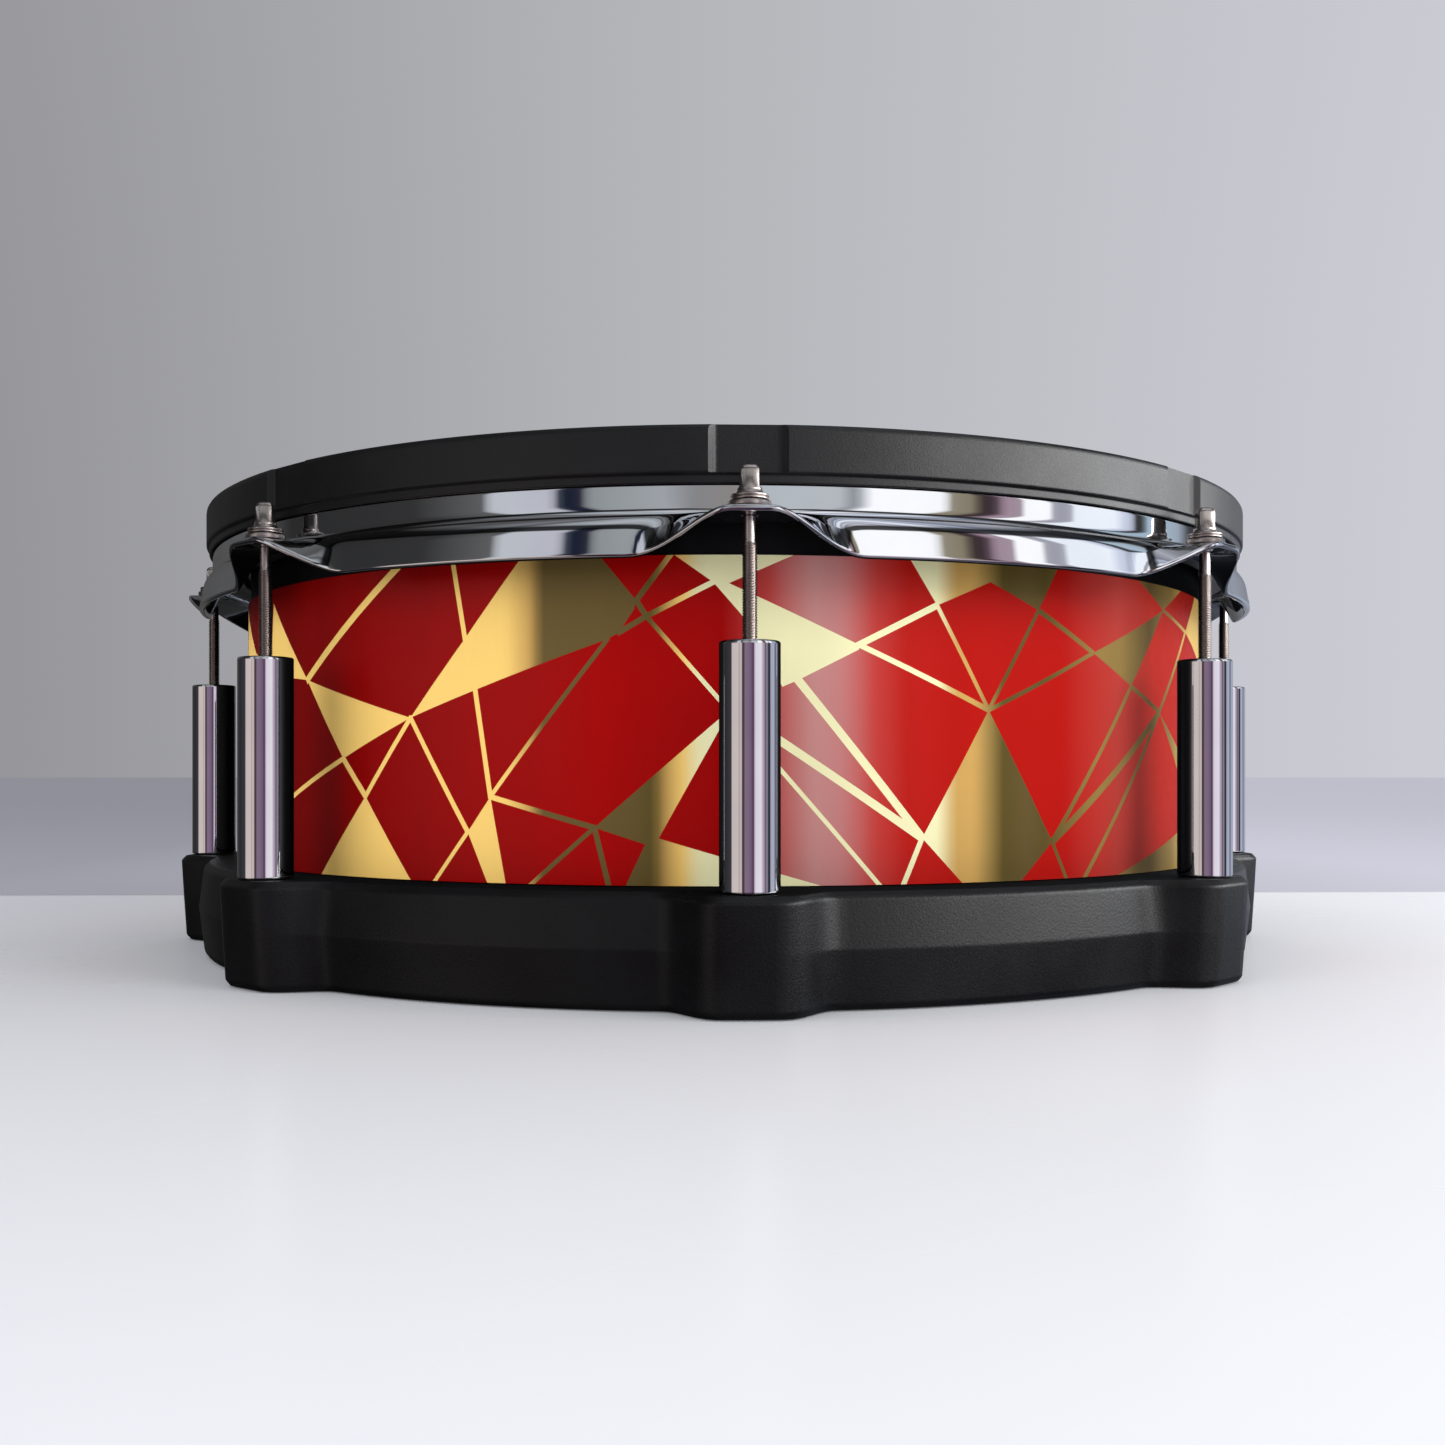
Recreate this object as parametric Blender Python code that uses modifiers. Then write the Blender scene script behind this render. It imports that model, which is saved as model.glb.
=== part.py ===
"""Electronic snare drum pad: moulded base frame, wrapped shell, steel hoop and mesh head.

Sizes are in millimetres and become metres when a mesh is made. The origin is the centre of
the base's underside, +Z points up, and one of the eight lugs faces -Y. The hoop, its cover,
the flesh hoop, the washers and the tension rods move together along Z, so they hang on one
empty; each rod's own origin is on the axis that it turns about.
"""

import math

import bmesh
import bpy
from mathutils import Matrix, Vector

MM = 0.001
GAP = 0.3                    # clearance left between pieces that touch
WIDE_GAP = 0.6               # the same between round pieces whose facets don't line up
BODY_STEPS = 60              # facets round the shell, the wrap, the head and its flesh hoop
LUGS = 8
LUG_ANGLES = [math.radians(-90.0 + n * 360.0 / LUGS) for n in range(LUGS)]
LUG_CIRCLE_R = 194.0

# base frame: an open-bottomed channel with a lobe under each lug
BASE_H = 31.2
BASE_DECK_T = 3.6
BASE_WALL_T = 3.8
BASE_HOLE_R = 158.0
BASE_LIP_T = 3.2
BASE_LIP_BOTTOM = 14.0
# heights up the outer wall, with its radius between the lobes and on a lobe's nose
BASE_OUTER = [
    (BASE_H, 187.0, 201.8),
    (29.4, 188.8, 203.6),
    (16.2, 190.4, 202.8),
    (1.6, 188.6, 201.8),
    (0.0, 187.3, 200.4),
]
LOBE_FLAT = 8.0              # half width of a lobe's nose, along the lug circle
LOBE_HALF = 24.0             # half width of a lobe with its flares
BOSS_R = 7.0
BOSS_BOTTOM = 5.0

# shell and its wrap
SHELL_R = 173.3
SHELL_T = 6.0
SHELL_BOTTOM = BASE_H + GAP
SHELL_TOP = 140.7
BEARING_CHAMFER = 4.0
WRAP_T = 0.7
WRAP_TOP = 120.0

# membrane
HEAD_T = 1.0
HEAD_R = 172.5               # where the flat playing surface ends
HEAD_COLLAR_R = 175.2
HEAD_COLLAR_BOTTOM = 133.0
HEAD_BOTTOM = SHELL_TOP + GAP
HEAD_TOP = HEAD_BOTTOM + HEAD_T

# flesh hoop
FLESH_R_IN = 175.8
FLESH_R_OUT = 183.6
FLESH_TOP = 135.8
FLESH_BOTTOM = 128.0

# steel hoop: an upper wall, a step, a neck, then a skirt that rises to a flat ear at each lug
HOOP_T = 1.8
HOOP_TOP = 149.6
HOOP_UPPER_R = 181.0
HOOP_STEP_TOP = 139.6
HOOP_NECK_R = 186.0
HOOP_STEP_BOTTOM = 137.6
HOOP_NECK_BOTTOM = 129.8
EAR_Z = 128.7
EAR_TIP_R = 201.6
EAR_ROOT_R = 187.2           # where an ear's flat top starts
EAR_FLAT = 5.0               # half width of an ear's flat, along the lug circle
EAR_HALF = 27.0              # half width of the arch that rises to the ear
SKIRT_MID = (188.8, 126.4)
SKIRT_TIP = (190.4, 117.4)

# rubber cover on the hoop
COVER_R = 188.0
COVER_TOP = 152.0
COVER_FACE_BOTTOM = 139.3
COVER_LIP_R = 187.1
COVER_LIP_BOTTOM = 136.6
COVER_INNER_R = 176.6
COVER_INNER_BOTTOM = 143.5
COVER_ROUND = 1.6
RECESS_W = 18.6
RECESS_FLOOR_R = 186.0       # distance of each recess's flat floor from the drum's axis

# lug tubes
TUBE_R = 7.85
TUBE_TOP = 95.1
TUBE_BORE_R = 5.6
TUBE_PLUG_TOP = 46.5         # below this height the tube is solid round the lug screw
TUBE_PLUG_BORE_R = 2.4
TUBE_BEVEL = 0.6

# threaded insert in the top of each tube
INSERT_R = TUBE_BORE_R - GAP
INSERT_BORE_R = 2.35
INSERT_TOP = TUBE_TOP - 0.8
INSERT_L = 12.0

# tension rods, M4 x 0.7
ROD_R = 2.0
ROD_SHANK_R = 1.6
ROD_SHANK_L = 6.0
ROD_BOTTOM = 68.0
ROD_HOLE_R = 2.6             # hole in the ear and in the washer
WASHER_R = 5.7
WASHER_T = 1.5
FLANGE_R = 5.0
FLANGE_T = 1.4
KEY_SIDE = 4.9               # across the flats of the square head
KEY_H = 6.2
CONE_H = 1.6

# screw from under the base into the foot of each tube
LUG_SCREW_R = 2.1
LUG_SCREW_TOP = 43.0
LUG_SCREW_HEAD_R = 3.8
LUG_SCREW_HEAD_H = 2.8

# sensor bridge: a bent steel strap across the shell
BRIDGE_W = 30.0
BRIDGE_T = 3.0
BRIDGE_FOOT_X = 165.0
BRIDGE_BEND_X = 156.0
BRIDGE_SHOULDER_X = 120.0
BRIDGE_TOP = 91.0
BRIDGE_BOTTOM = BASE_H + GAP
BRIDGE_SCREW_X = 162.0
BRIDGE_SCREW_R = 1.5
BRIDGE_SCREW_HEAD_R = 2.6
BRIDGE_SCREW_HEAD_H = 1.8
BRIDGE_SCREW_BOTTOM = 18.0
BRIDGE_BOSS_R = 4.5

# sensors
CUSHION_R = 19.0
CUSHION_T = 3.0
PIEZO_R = 17.5
PIEZO_T = 0.6
CONE_FOOT_R = 16.0
CONE_TIP_R = 8.0
RIM_PIEZO_R = 13.5
RIM_PIEZO_X = 60.0
RIM_PIEZO_T = 1.0

# output jack, pointing down through a ledge at the back of the base frame
JACK_Y = 142.0
LEDGE_W = 40.0
LEDGE_FRONT_Y = 126.0
JACK_BODY = (16.0, 16.0, 20.0)
JACK_SLEEVE_R = 4.6
JACK_SLEEVE_BOTTOM = 20.0
JACK_BORE_R = 3.35
JACK_BORE_TOP = 48.0
JACK_NUT_R = 7.5
JACK_NUT_T = 2.4
LEAD_D = 2.0


# ---------------------------------------------------------------- helpers

def clear_scene():
    for obj in list(bpy.data.objects):
        bpy.data.objects.remove(obj, do_unlink=True)


def new_collection(name):
    made = bpy.data.collections.new(name)
    bpy.context.scene.collection.children.link(made)
    return made


def material(name, color, roughness, metallic=0.0):
    made = bpy.data.materials.new(name)
    made.use_nodes = True
    shader = made.node_tree.nodes["Principled BSDF"]
    shader.inputs["Base Color"].default_value = (*color, 1.0)
    shader.inputs["Roughness"].default_value = roughness
    shader.inputs["Metallic"].default_value = metallic
    made.diffuse_color = (*color, 1.0)
    return made


def add_object(name, mesh, mat, parent=None, at=(0.0, 0.0, 0.0)):
    """An object of the part. at is its origin in millimetres."""
    obj = bpy.data.objects.new(name, mesh)
    PARTS.objects.link(obj)
    obj.location = Vector(at) * MM
    obj.parent = parent
    if not mesh.materials:
        mesh.materials.append(mat)
    return obj


def add_cutter(name, mesh):
    obj = bpy.data.objects.new(name, mesh)
    CUTTERS.objects.link(obj)
    obj.hide_render = True
    obj.display_type = "WIRE"
    return obj


def mesh_from(name, bm, smooth_angle=35.0):
    made = bpy.data.meshes.new(name)
    bm.to_mesh(made)
    bm.free()
    made.shade_smooth()
    made.set_sharp_from_angle(angle=math.radians(smooth_angle))
    return made


def profile_mesh(name, points, closed):
    """A turned shape's outline: (radius, height) points, down the outer side."""
    bm = bmesh.new()
    verts = [bm.verts.new((r * MM, 0.0, z * MM)) for r, z in points]
    for a, b in zip(verts, verts[1:]):
        bm.edges.new((a, b))
    if closed:
        bm.edges.new((verts[-1], verts[0]))
    return mesh_from(name, bm)


def add_screw(obj, steps):
    screw = obj.modifiers.new("turn", "SCREW")
    screw.steps = steps
    screw.render_steps = steps
    screw.use_merge_vertices = True
    screw.merge_threshold = 0.00001
    screw.use_smooth_shade = True


def turned(name, points, steps, mat, closed=True, parent=None, at=(0.0, 0.0, 0.0)):
    obj = add_object(name, profile_mesh(name, points, closed), mat, parent, at)
    add_screw(obj, steps)
    return obj


def ring(r_in, r_out, bottom, top):
    """Profile of a ring of rectangular section."""
    return [(r_in, top), (r_out, top), (r_out, bottom), (r_in, bottom)]


def disc(radius, bottom, top):
    """Profile of a solid disc."""
    return [(0.0, top), (radius, top), (radius, bottom), (0.0, bottom)]


def sector_stops(near, far_count):
    """Arc distances across one lug's sector: near the lug on both sides, then evenly out."""
    half_sector = math.pi / LUGS * LUG_CIRCLE_R
    last = near[-1]
    far = [last + (half_sector - last) * (n + 1) / far_count for n in range(far_count)]
    right = near[1:] + far
    left = [-s for s in reversed(right[:-1])]
    return left + [0.0] + right


def rise(distance, flat, half):
    """1 on the lug, falling smoothly to 0 at half away from it."""
    away = min(max(abs(distance) - flat, 0.0) / (half - flat), 1.0)
    return 0.5 * (1.0 + math.cos(math.pi * away))


def mix(a, b, t):
    return a + (b - a) * t


def loft_ring(name, section_at, stops):
    """A closed ring through a section that changes with the distance from the nearest lug."""
    bm = bmesh.new()
    rows = []
    for lug in LUG_ANGLES:
        for s in stops:
            angle = lug + s / LUG_CIRCLE_R
            x, y = math.cos(angle), math.sin(angle)
            rows.append([bm.verts.new((r * x * MM, r * y * MM, z * MM)) for r, z in section_at(s)])
    for row, after in zip(rows, rows[1:] + rows[:1]):
        for n in range(len(row)):
            m = (n + 1) % len(row)
            bm.faces.new((row[n], row[m], after[m], after[n]))
    return mesh_from(name, bm)


def add_cylinder(bm, radius, bottom, top, at, segments):
    """An upright cylinder added to a bmesh, standing at at = (x, y)."""
    place = Matrix.Translation((at[0] * MM, at[1] * MM, 0.5 * (bottom + top) * MM))
    bmesh.ops.create_cone(
        bm, cap_ends=True, segments=segments, radius1=radius * MM, radius2=radius * MM,
        depth=(top - bottom) * MM, matrix=place)


def add_block(bm, size, centre, turn=0.0):
    """A box added to a bmesh, turned about Z round the drum's axis."""
    place = Matrix.Rotation(turn, 4, "Z") @ Matrix.Translation(Vector(centre) * MM)
    scale = Matrix.Diagonal((size[0] * MM, size[1] * MM, size[2] * MM, 1.0))
    bmesh.ops.create_cube(bm, size=1.0, matrix=place @ scale)


def boolean(obj, tool, operation):
    step = obj.modifiers.new(tool.name, "BOOLEAN")
    step.object = tool
    step.operation = operation
    step.solver = "EXACT"


def evaluated_mesh(obj):
    bpy.context.view_layer.update()
    shown = obj.evaluated_get(bpy.context.evaluated_depsgraph_get())
    return bpy.data.meshes.new_from_object(shown)


def lug_xy(n):
    return LUG_CIRCLE_R * math.cos(LUG_ANGLES[n]), LUG_CIRCLE_R * math.sin(LUG_ANGLES[n])


# ---------------------------------------------------------------- frame and shell

def base_section(s):
    lobe = rise(s, LOBE_FLAT, LOBE_HALF)
    outer = [(mix(wall, nose, lobe), z) for z, wall, nose in BASE_OUTER]
    foot_r = outer[-2][0] - BASE_WALL_T
    deck_bottom = BASE_H - BASE_DECK_T
    lip_r = BASE_HOLE_R + BASE_LIP_T
    return [(BASE_HOLE_R, BASE_H)] + outer + [
        (foot_r, 0.0),
        (foot_r - 0.8, deck_bottom),
        (lip_r, deck_bottom),
        (lip_r, BASE_LIP_BOTTOM),
        (BASE_HOLE_R, BASE_LIP_BOTTOM),
    ]


def make_base_frame(mat):
    stops = sector_stops([0.0, 8.0, 11.5, 15.5, 19.5, 24.0], 2)
    base = add_object("base_frame", loft_ring("base_frame", base_section, stops), mat)
    deck_bottom = BASE_H - BASE_DECK_T

    bosses = bmesh.new()
    for n in range(LUGS):
        add_cylinder(bosses, BOSS_R, BOSS_BOTTOM, deck_bottom + 1.0, lug_xy(n), 12)
    for side in (-1, 1):
        add_cylinder(bosses, BRIDGE_BOSS_R, BASE_LIP_BOTTOM + 1.0, deck_bottom + 1.0,
                     (side * BRIDGE_SCREW_X, 0.0), 12)
    ledge_back = BASE_HOLE_R + 0.5 * BASE_LIP_T
    ledge_mid = 0.5 * (LEDGE_FRONT_Y + ledge_back)
    add_block(bosses, (LEDGE_W, ledge_back - LEDGE_FRONT_Y, BASE_DECK_T - 0.4),
              (0.0, ledge_mid, BASE_H - 0.5 * BASE_DECK_T))
    boolean(base, add_cutter("base_bosses", mesh_from("base_bosses", bosses)), "UNION")

    holes = bmesh.new()
    for n in range(LUGS):
        add_cylinder(holes, TUBE_PLUG_BORE_R, -1.0, BASE_H + 1.0, lug_xy(n), 8)
    for side in (-1, 1):
        add_cylinder(holes, BRIDGE_SCREW_R + GAP, 0.0, BASE_H + 1.0, (side * BRIDGE_SCREW_X, 0.0), 12)
    add_cylinder(holes, JACK_SLEEVE_R + GAP, 0.0, BASE_H + 1.0, (0.0, JACK_Y), 20)
    boolean(base, add_cutter("base_holes", mesh_from("base_holes", holes)), "DIFFERENCE")


def make_shell(mat, wrap_mat):
    inner_r = SHELL_R - SHELL_T
    turned("shell", [
        (SHELL_R - 2.0, SHELL_TOP),
        (SHELL_R, SHELL_TOP - 1.6),
        (SHELL_R, SHELL_BOTTOM),
        (inner_r, SHELL_BOTTOM),
        (inner_r, SHELL_TOP - BEARING_CHAMFER),
    ], BODY_STEPS, mat)
    wrap_in = SHELL_R + GAP
    turned("shell_wrap", ring(wrap_in, wrap_in + WRAP_T, SHELL_BOTTOM, WRAP_TOP), BODY_STEPS, wrap_mat)


# ---------------------------------------------------------------- head and hoop

def make_head(mesh_mat, flesh_mat, moving):
    turned("mesh_head", [
        (0.0, HEAD_TOP),
        (HEAD_R, HEAD_TOP),
        (HEAD_COLLAR_R, HEAD_TOP - 1.6),
        (HEAD_COLLAR_R, HEAD_COLLAR_BOTTOM),
        (HEAD_COLLAR_R - HEAD_T, HEAD_COLLAR_BOTTOM),
        (HEAD_COLLAR_R - HEAD_T, HEAD_BOTTOM - 1.3),
        (HEAD_R, HEAD_BOTTOM),
        (0.0, HEAD_BOTTOM),
    ], BODY_STEPS, mesh_mat, closed=False)
    turned("head_flesh_hoop", ring(FLESH_R_IN, FLESH_R_OUT, FLESH_BOTTOM, FLESH_TOP), BODY_STEPS,
           flesh_mat, parent=moving)


def hoop_section(s):
    ear = rise(s, EAR_FLAT, EAR_HALF)
    mid_r = mix(SKIRT_MID[0], EAR_ROOT_R, ear)
    mid_z = mix(SKIRT_MID[1], EAR_Z, ear)
    tip_r = mix(SKIRT_TIP[0], EAR_TIP_R, ear)
    tip_z = mix(SKIRT_TIP[1], EAR_Z, ear)
    slope = math.atan2(mid_z - tip_z, tip_r - mid_r)
    back_r = HOOP_T * math.sin(slope)
    back_z = HOOP_T * math.cos(slope)
    return [
        (HOOP_UPPER_R - HOOP_T, HOOP_TOP),
        (HOOP_UPPER_R, HOOP_TOP),
        (HOOP_UPPER_R, HOOP_STEP_TOP),
        (HOOP_NECK_R, HOOP_STEP_BOTTOM),
        (HOOP_NECK_R, HOOP_NECK_BOTTOM),
        (mid_r, mid_z),
        (tip_r, tip_z),
        (tip_r - back_r, tip_z - back_z),
        (HOOP_NECK_R - HOOP_T, EAR_Z - HOOP_T),
        (HOOP_NECK_R - HOOP_T, HOOP_STEP_BOTTOM - 1.0),
        (HOOP_UPPER_R - HOOP_T, HOOP_STEP_TOP - 1.4),
    ]


def make_hoop(mat, moving):
    stops = sector_stops([0.0, 4.5, 9.0, 13.5, 18.5, 25.0], 3)
    hoop = add_object("hoop", loft_ring("hoop", hoop_section, stops), mat, moving)
    holes = bmesh.new()
    for n in range(LUGS):
        add_cylinder(holes, ROD_HOLE_R, EAR_Z - 5.0, EAR_Z + 5.0, lug_xy(n), 10)
    boolean(hoop, add_cutter("hoop_holes", mesh_from("hoop_holes", holes)), "DIFFERENCE")


def make_hoop_cover(mat, moving):
    cover = turned("hoop_cover", [
        (COVER_INNER_R + 1.0, COVER_TOP),
        (COVER_R - COVER_ROUND, COVER_TOP),
        (COVER_R, COVER_TOP - COVER_ROUND),
        (COVER_R, COVER_FACE_BOTTOM),
        (COVER_LIP_R, COVER_FACE_BOTTOM - 0.5),
        (COVER_LIP_R, COVER_LIP_BOTTOM),
        (HOOP_NECK_R + WIDE_GAP, COVER_LIP_BOTTOM),
        (HOOP_NECK_R + WIDE_GAP, HOOP_STEP_BOTTOM + GAP),
        (HOOP_UPPER_R + WIDE_GAP, HOOP_STEP_TOP + WIDE_GAP),
        (HOOP_UPPER_R + WIDE_GAP, HOOP_TOP + GAP),
        (HOOP_UPPER_R - HOOP_T - WIDE_GAP, HOOP_TOP + GAP),
        (HOOP_UPPER_R - HOOP_T - WIDE_GAP, COVER_INNER_BOTTOM),
        (COVER_INNER_R, COVER_INNER_BOTTOM),
        (COVER_INNER_R, COVER_TOP - 1.0),
    ], 72, mat, parent=moving)
    recesses = bmesh.new()
    depth = 6.0
    height = COVER_TOP - COVER_FACE_BOTTOM + 2.0
    for angle in LUG_ANGLES:
        add_block(recesses, (depth, RECESS_W, height),
                  (RECESS_FLOOR_R + 0.5 * depth, 0.0, COVER_FACE_BOTTOM + 0.5 * height), angle)
    boolean(cover, add_cutter("cover_recesses", mesh_from("cover_recesses", recesses)), "DIFFERENCE")


# ---------------------------------------------------------------- lugs and rods

def rod_mesh(mat):
    """One tension rod about its own axis: shank, flange and cone, joined to the square head."""
    flange_bottom = EAR_Z + GAP + WASHER_T + GAP
    flange_top = flange_bottom + FLANGE_T
    head_bottom = flange_top + CONE_H
    shank_bottom = flange_bottom - GAP - WASHER_T - GAP - HOOP_T - ROD_SHANK_L
    shank = turned("rod_shank", [
        (0.0, head_bottom + 0.5),
        (0.5 * KEY_SIDE, head_bottom + 0.5),
        (0.5 * KEY_SIDE + 0.3, head_bottom),
        (0.8 * FLANGE_R, flange_top),
        (FLANGE_R, flange_top),
        (FLANGE_R, flange_bottom),
        (ROD_SHANK_R, flange_bottom),
        (ROD_SHANK_R, shank_bottom),
        (ROD_R, shank_bottom - 0.4),
        (ROD_R, ROD_BOTTOM + 0.6),
        (ROD_R - 0.6, ROD_BOTTOM),
        (0.0, ROD_BOTTOM),
    ], 16, mat, closed=False)
    key = bmesh.new()
    add_block(key, (KEY_SIDE, KEY_SIDE, KEY_H), (0.0, 0.0, head_bottom + 0.5 * KEY_H))
    top = [e for e in key.edges if all(v.co.z > head_bottom * MM + 0.5 * KEY_H * MM for v in e.verts)]
    bmesh.ops.bevel(key, geom=top, offset=1.0 * MM, segments=1, affect="EDGES")
    boolean(shank, add_cutter("rod_key", mesh_from("rod_key", key)), "UNION")
    made = evaluated_mesh(shank)
    made.name = "tension_rod"
    bpy.data.objects.remove(shank, do_unlink=True)
    return made


def make_lugs(chrome, rod_steel, steel, brass, moving):
    shared_rod = rod_mesh(rod_steel)
    tube_bottom = BASE_H + GAP
    tube_profile = [
        (TUBE_BORE_R, TUBE_TOP),
        (TUBE_R - TUBE_BEVEL, TUBE_TOP),
        (TUBE_R, TUBE_TOP - TUBE_BEVEL),
        (TUBE_R, tube_bottom),
        (TUBE_PLUG_BORE_R, tube_bottom),
        (TUBE_PLUG_BORE_R, TUBE_PLUG_TOP),
        (TUBE_BORE_R, TUBE_PLUG_TOP),
    ]
    insert_profile = ring(INSERT_BORE_R, INSERT_R, INSERT_TOP - INSERT_L, INSERT_TOP)
    washer_profile = ring(ROD_HOLE_R, WASHER_R, EAR_Z + GAP, EAR_Z + GAP + WASHER_T)
    head_top = BOSS_BOTTOM - GAP
    screw_profile = [
        (0.0, LUG_SCREW_TOP),
        (LUG_SCREW_R, LUG_SCREW_TOP),
        (LUG_SCREW_R, head_top),
        (LUG_SCREW_HEAD_R, head_top),
        (LUG_SCREW_HEAD_R, head_top - 0.6 * LUG_SCREW_HEAD_H),
        (0.7 * LUG_SCREW_HEAD_R, head_top - LUG_SCREW_HEAD_H),
        (0.0, head_top - LUG_SCREW_HEAD_H),
    ]
    for n in range(LUGS):
        x, y = lug_xy(n)
        at = (x, y, 0.0)
        number = n + 1
        turned(f"lug_tube_{number}", tube_profile, 14, chrome, at=at)
        turned(f"rod_insert_{number}", insert_profile, 10, brass, at=at)
        turned(f"lug_screw_{number}", screw_profile, 8, steel, closed=False, at=at)
        turned(f"rod_washer_{number}", washer_profile, 12, steel, parent=moving, at=at)
        add_object(f"tension_rod_{number}", shared_rod, rod_steel, moving, at)


# ---------------------------------------------------------------- sensors and jack

def make_bridge(mat, screw_mat):
    """A flat strap bent into a low hat: open surface first, then its thickness."""
    outline = [
        (BRIDGE_FOOT_X, BRIDGE_BOTTOM),
        (BRIDGE_BEND_X, BRIDGE_BOTTOM),
        (BRIDGE_SHOULDER_X, BRIDGE_TOP - BRIDGE_T),
    ]
    path = [(-x, z) for x, z in outline] + list(reversed(outline))
    bm = bmesh.new()
    half = 0.5 * BRIDGE_W * MM
    front = [bm.verts.new((x * MM, -half, z * MM)) for x, z in path]
    back = [bm.verts.new((x * MM, half, z * MM)) for x, z in path]
    for n in range(len(path) - 1):
        bm.faces.new((front[n], front[n + 1], back[n + 1], back[n]))
    bridge = add_object("sensor_bridge", mesh_from("sensor_bridge", bm), mat)
    thick = bridge.modifiers.new("thickness", "SOLIDIFY")
    thick.thickness = BRIDGE_T * MM
    thick.offset = 1.0
    thick.use_even_offset = True
    holes = bmesh.new()
    for side in (-1, 1):
        add_cylinder(holes, BRIDGE_SCREW_R + GAP, BASE_H - 2.0, BRIDGE_BOTTOM + 20.0,
                     (side * BRIDGE_SCREW_X, 0.0), 12)
    boolean(bridge, add_cutter("bridge_holes", mesh_from("bridge_holes", holes)), "DIFFERENCE")

    seat = BRIDGE_BOTTOM + BRIDGE_T + GAP
    for number, side in ((1, -1), (2, 1)):
        turned(f"bridge_screw_{number}", [
            (0.0, seat + BRIDGE_SCREW_HEAD_H),
            (0.7 * BRIDGE_SCREW_HEAD_R, seat + BRIDGE_SCREW_HEAD_H),
            (BRIDGE_SCREW_HEAD_R, seat + 0.5 * BRIDGE_SCREW_HEAD_H),
            (BRIDGE_SCREW_HEAD_R, seat),
            (BRIDGE_SCREW_R, seat),
            (BRIDGE_SCREW_R, BRIDGE_SCREW_BOTTOM),
            (0.0, BRIDGE_SCREW_BOTTOM),
        ], 12, screw_mat, closed=False, at=(side * BRIDGE_SCREW_X, 0.0, 0.0))


def make_sensors(foam, brass):
    cushion_bottom = BRIDGE_TOP + GAP
    piezo_bottom = cushion_bottom + CUSHION_T + GAP
    cone_bottom = piezo_bottom + PIEZO_T + GAP
    turned("sensor_cushion", disc(CUSHION_R, cushion_bottom, cushion_bottom + CUSHION_T), 24, foam,
           closed=False)
    turned("head_piezo", disc(PIEZO_R, piezo_bottom, piezo_bottom + PIEZO_T), 24, brass,
           closed=False)
    turned("sensor_cone", [
        (0.0, HEAD_BOTTOM - GAP),
        (CONE_TIP_R, HEAD_BOTTOM - GAP),
        (CONE_FOOT_R, cone_bottom),
        (0.0, cone_bottom),
    ], 24, foam, closed=False)
    turned("rim_piezo", disc(RIM_PIEZO_R, cushion_bottom, cushion_bottom + RIM_PIEZO_T), 24, brass,
           closed=False, at=(RIM_PIEZO_X, 0.0, 0.0))


def make_jack(plastic, metal):
    body_bottom = BASE_H + GAP
    body_top = body_bottom + JACK_BODY[2]
    bm = bmesh.new()
    add_block(bm, JACK_BODY, (0.0, JACK_Y, 0.5 * (body_bottom + body_top)))
    jack = add_object("output_jack", mesh_from("output_jack", bm), plastic)
    sleeve = bmesh.new()
    add_cylinder(sleeve, JACK_SLEEVE_R, JACK_SLEEVE_BOTTOM, body_bottom + 1.0, (0.0, JACK_Y), 24)
    boolean(jack, add_cutter("jack_sleeve", mesh_from("jack_sleeve", sleeve)), "UNION")
    bore = bmesh.new()
    add_cylinder(bore, JACK_BORE_R, 0.0, JACK_BORE_TOP, (0.0, JACK_Y), 24)
    boolean(jack, add_cutter("jack_bore", mesh_from("jack_bore", bore)), "DIFFERENCE")

    nut_top = BASE_H - BASE_DECK_T - GAP
    turned("jack_nut", ring(JACK_SLEEVE_R + WIDE_GAP, JACK_NUT_R, nut_top - JACK_NUT_T, nut_top),
           12, metal, at=(0.0, JACK_Y, 0.0))


def smooth_path(points, per_span):
    """Points along a Catmull-Rom curve through the route's own points."""
    ends = [points[0] * 2.0 - points[1]] + points + [points[-1] * 2.0 - points[-2]]
    path = []
    for p0, p1, p2, p3 in zip(ends, ends[1:], ends[2:], ends[3:]):
        for n in range(per_span):
            t = n / per_span
            path.append(0.5 * (2.0 * p1 + (p2 - p0) * t + (2.0 * p0 - 5.0 * p1 + 4.0 * p2 - p3) * t ** 2
                               + (3.0 * p1 - 3.0 * p2 + p3 - p0) * t ** 3))
    return path + [points[-1]]


def make_lead(name, route, mat):
    path = smooth_path([Vector(p) for p in route], 2)
    curve = bpy.data.curves.new(name, "CURVE")
    curve.dimensions = "3D"
    curve.bevel_depth = 0.5 * LEAD_D * MM
    curve.bevel_resolution = 2
    curve.resolution_u = 1
    curve.use_fill_caps = True
    spline = curve.splines.new("POLY")
    spline.points.add(len(path) - 1)
    for point, place in zip(spline.points, path):
        point.co = (*(place * MM), 1.0)
    return add_object(name, curve, mat)


def make_leads(mat):
    jack_top = BASE_H + GAP + JACK_BODY[2]
    side = 3.0
    down = [(48.0, 82.0), (80.0, 71.0), (112.0, 64.0), (132.0, 66.0), (JACK_Y, 62.0)]
    end = (JACK_Y, jack_top + GAP)
    make_lead("head_sensor_lead",
              [(-side, 19.3, 94.9), (-side, 28.0, 90.0)]
              + [(-side, y, z) for y, z in down] + [(-side, *end)], mat)
    make_lead("rim_sensor_lead",
              [(46.0, 10.5, 93.0), (38.0, 17.5, 92.6), (20.0, 24.0, 90.5), (7.0, 32.0, 87.0)]
              + [(side, y, z) for y, z in down] + [(side, *end)], mat)


# ---------------------------------------------------------------- assembly

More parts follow.
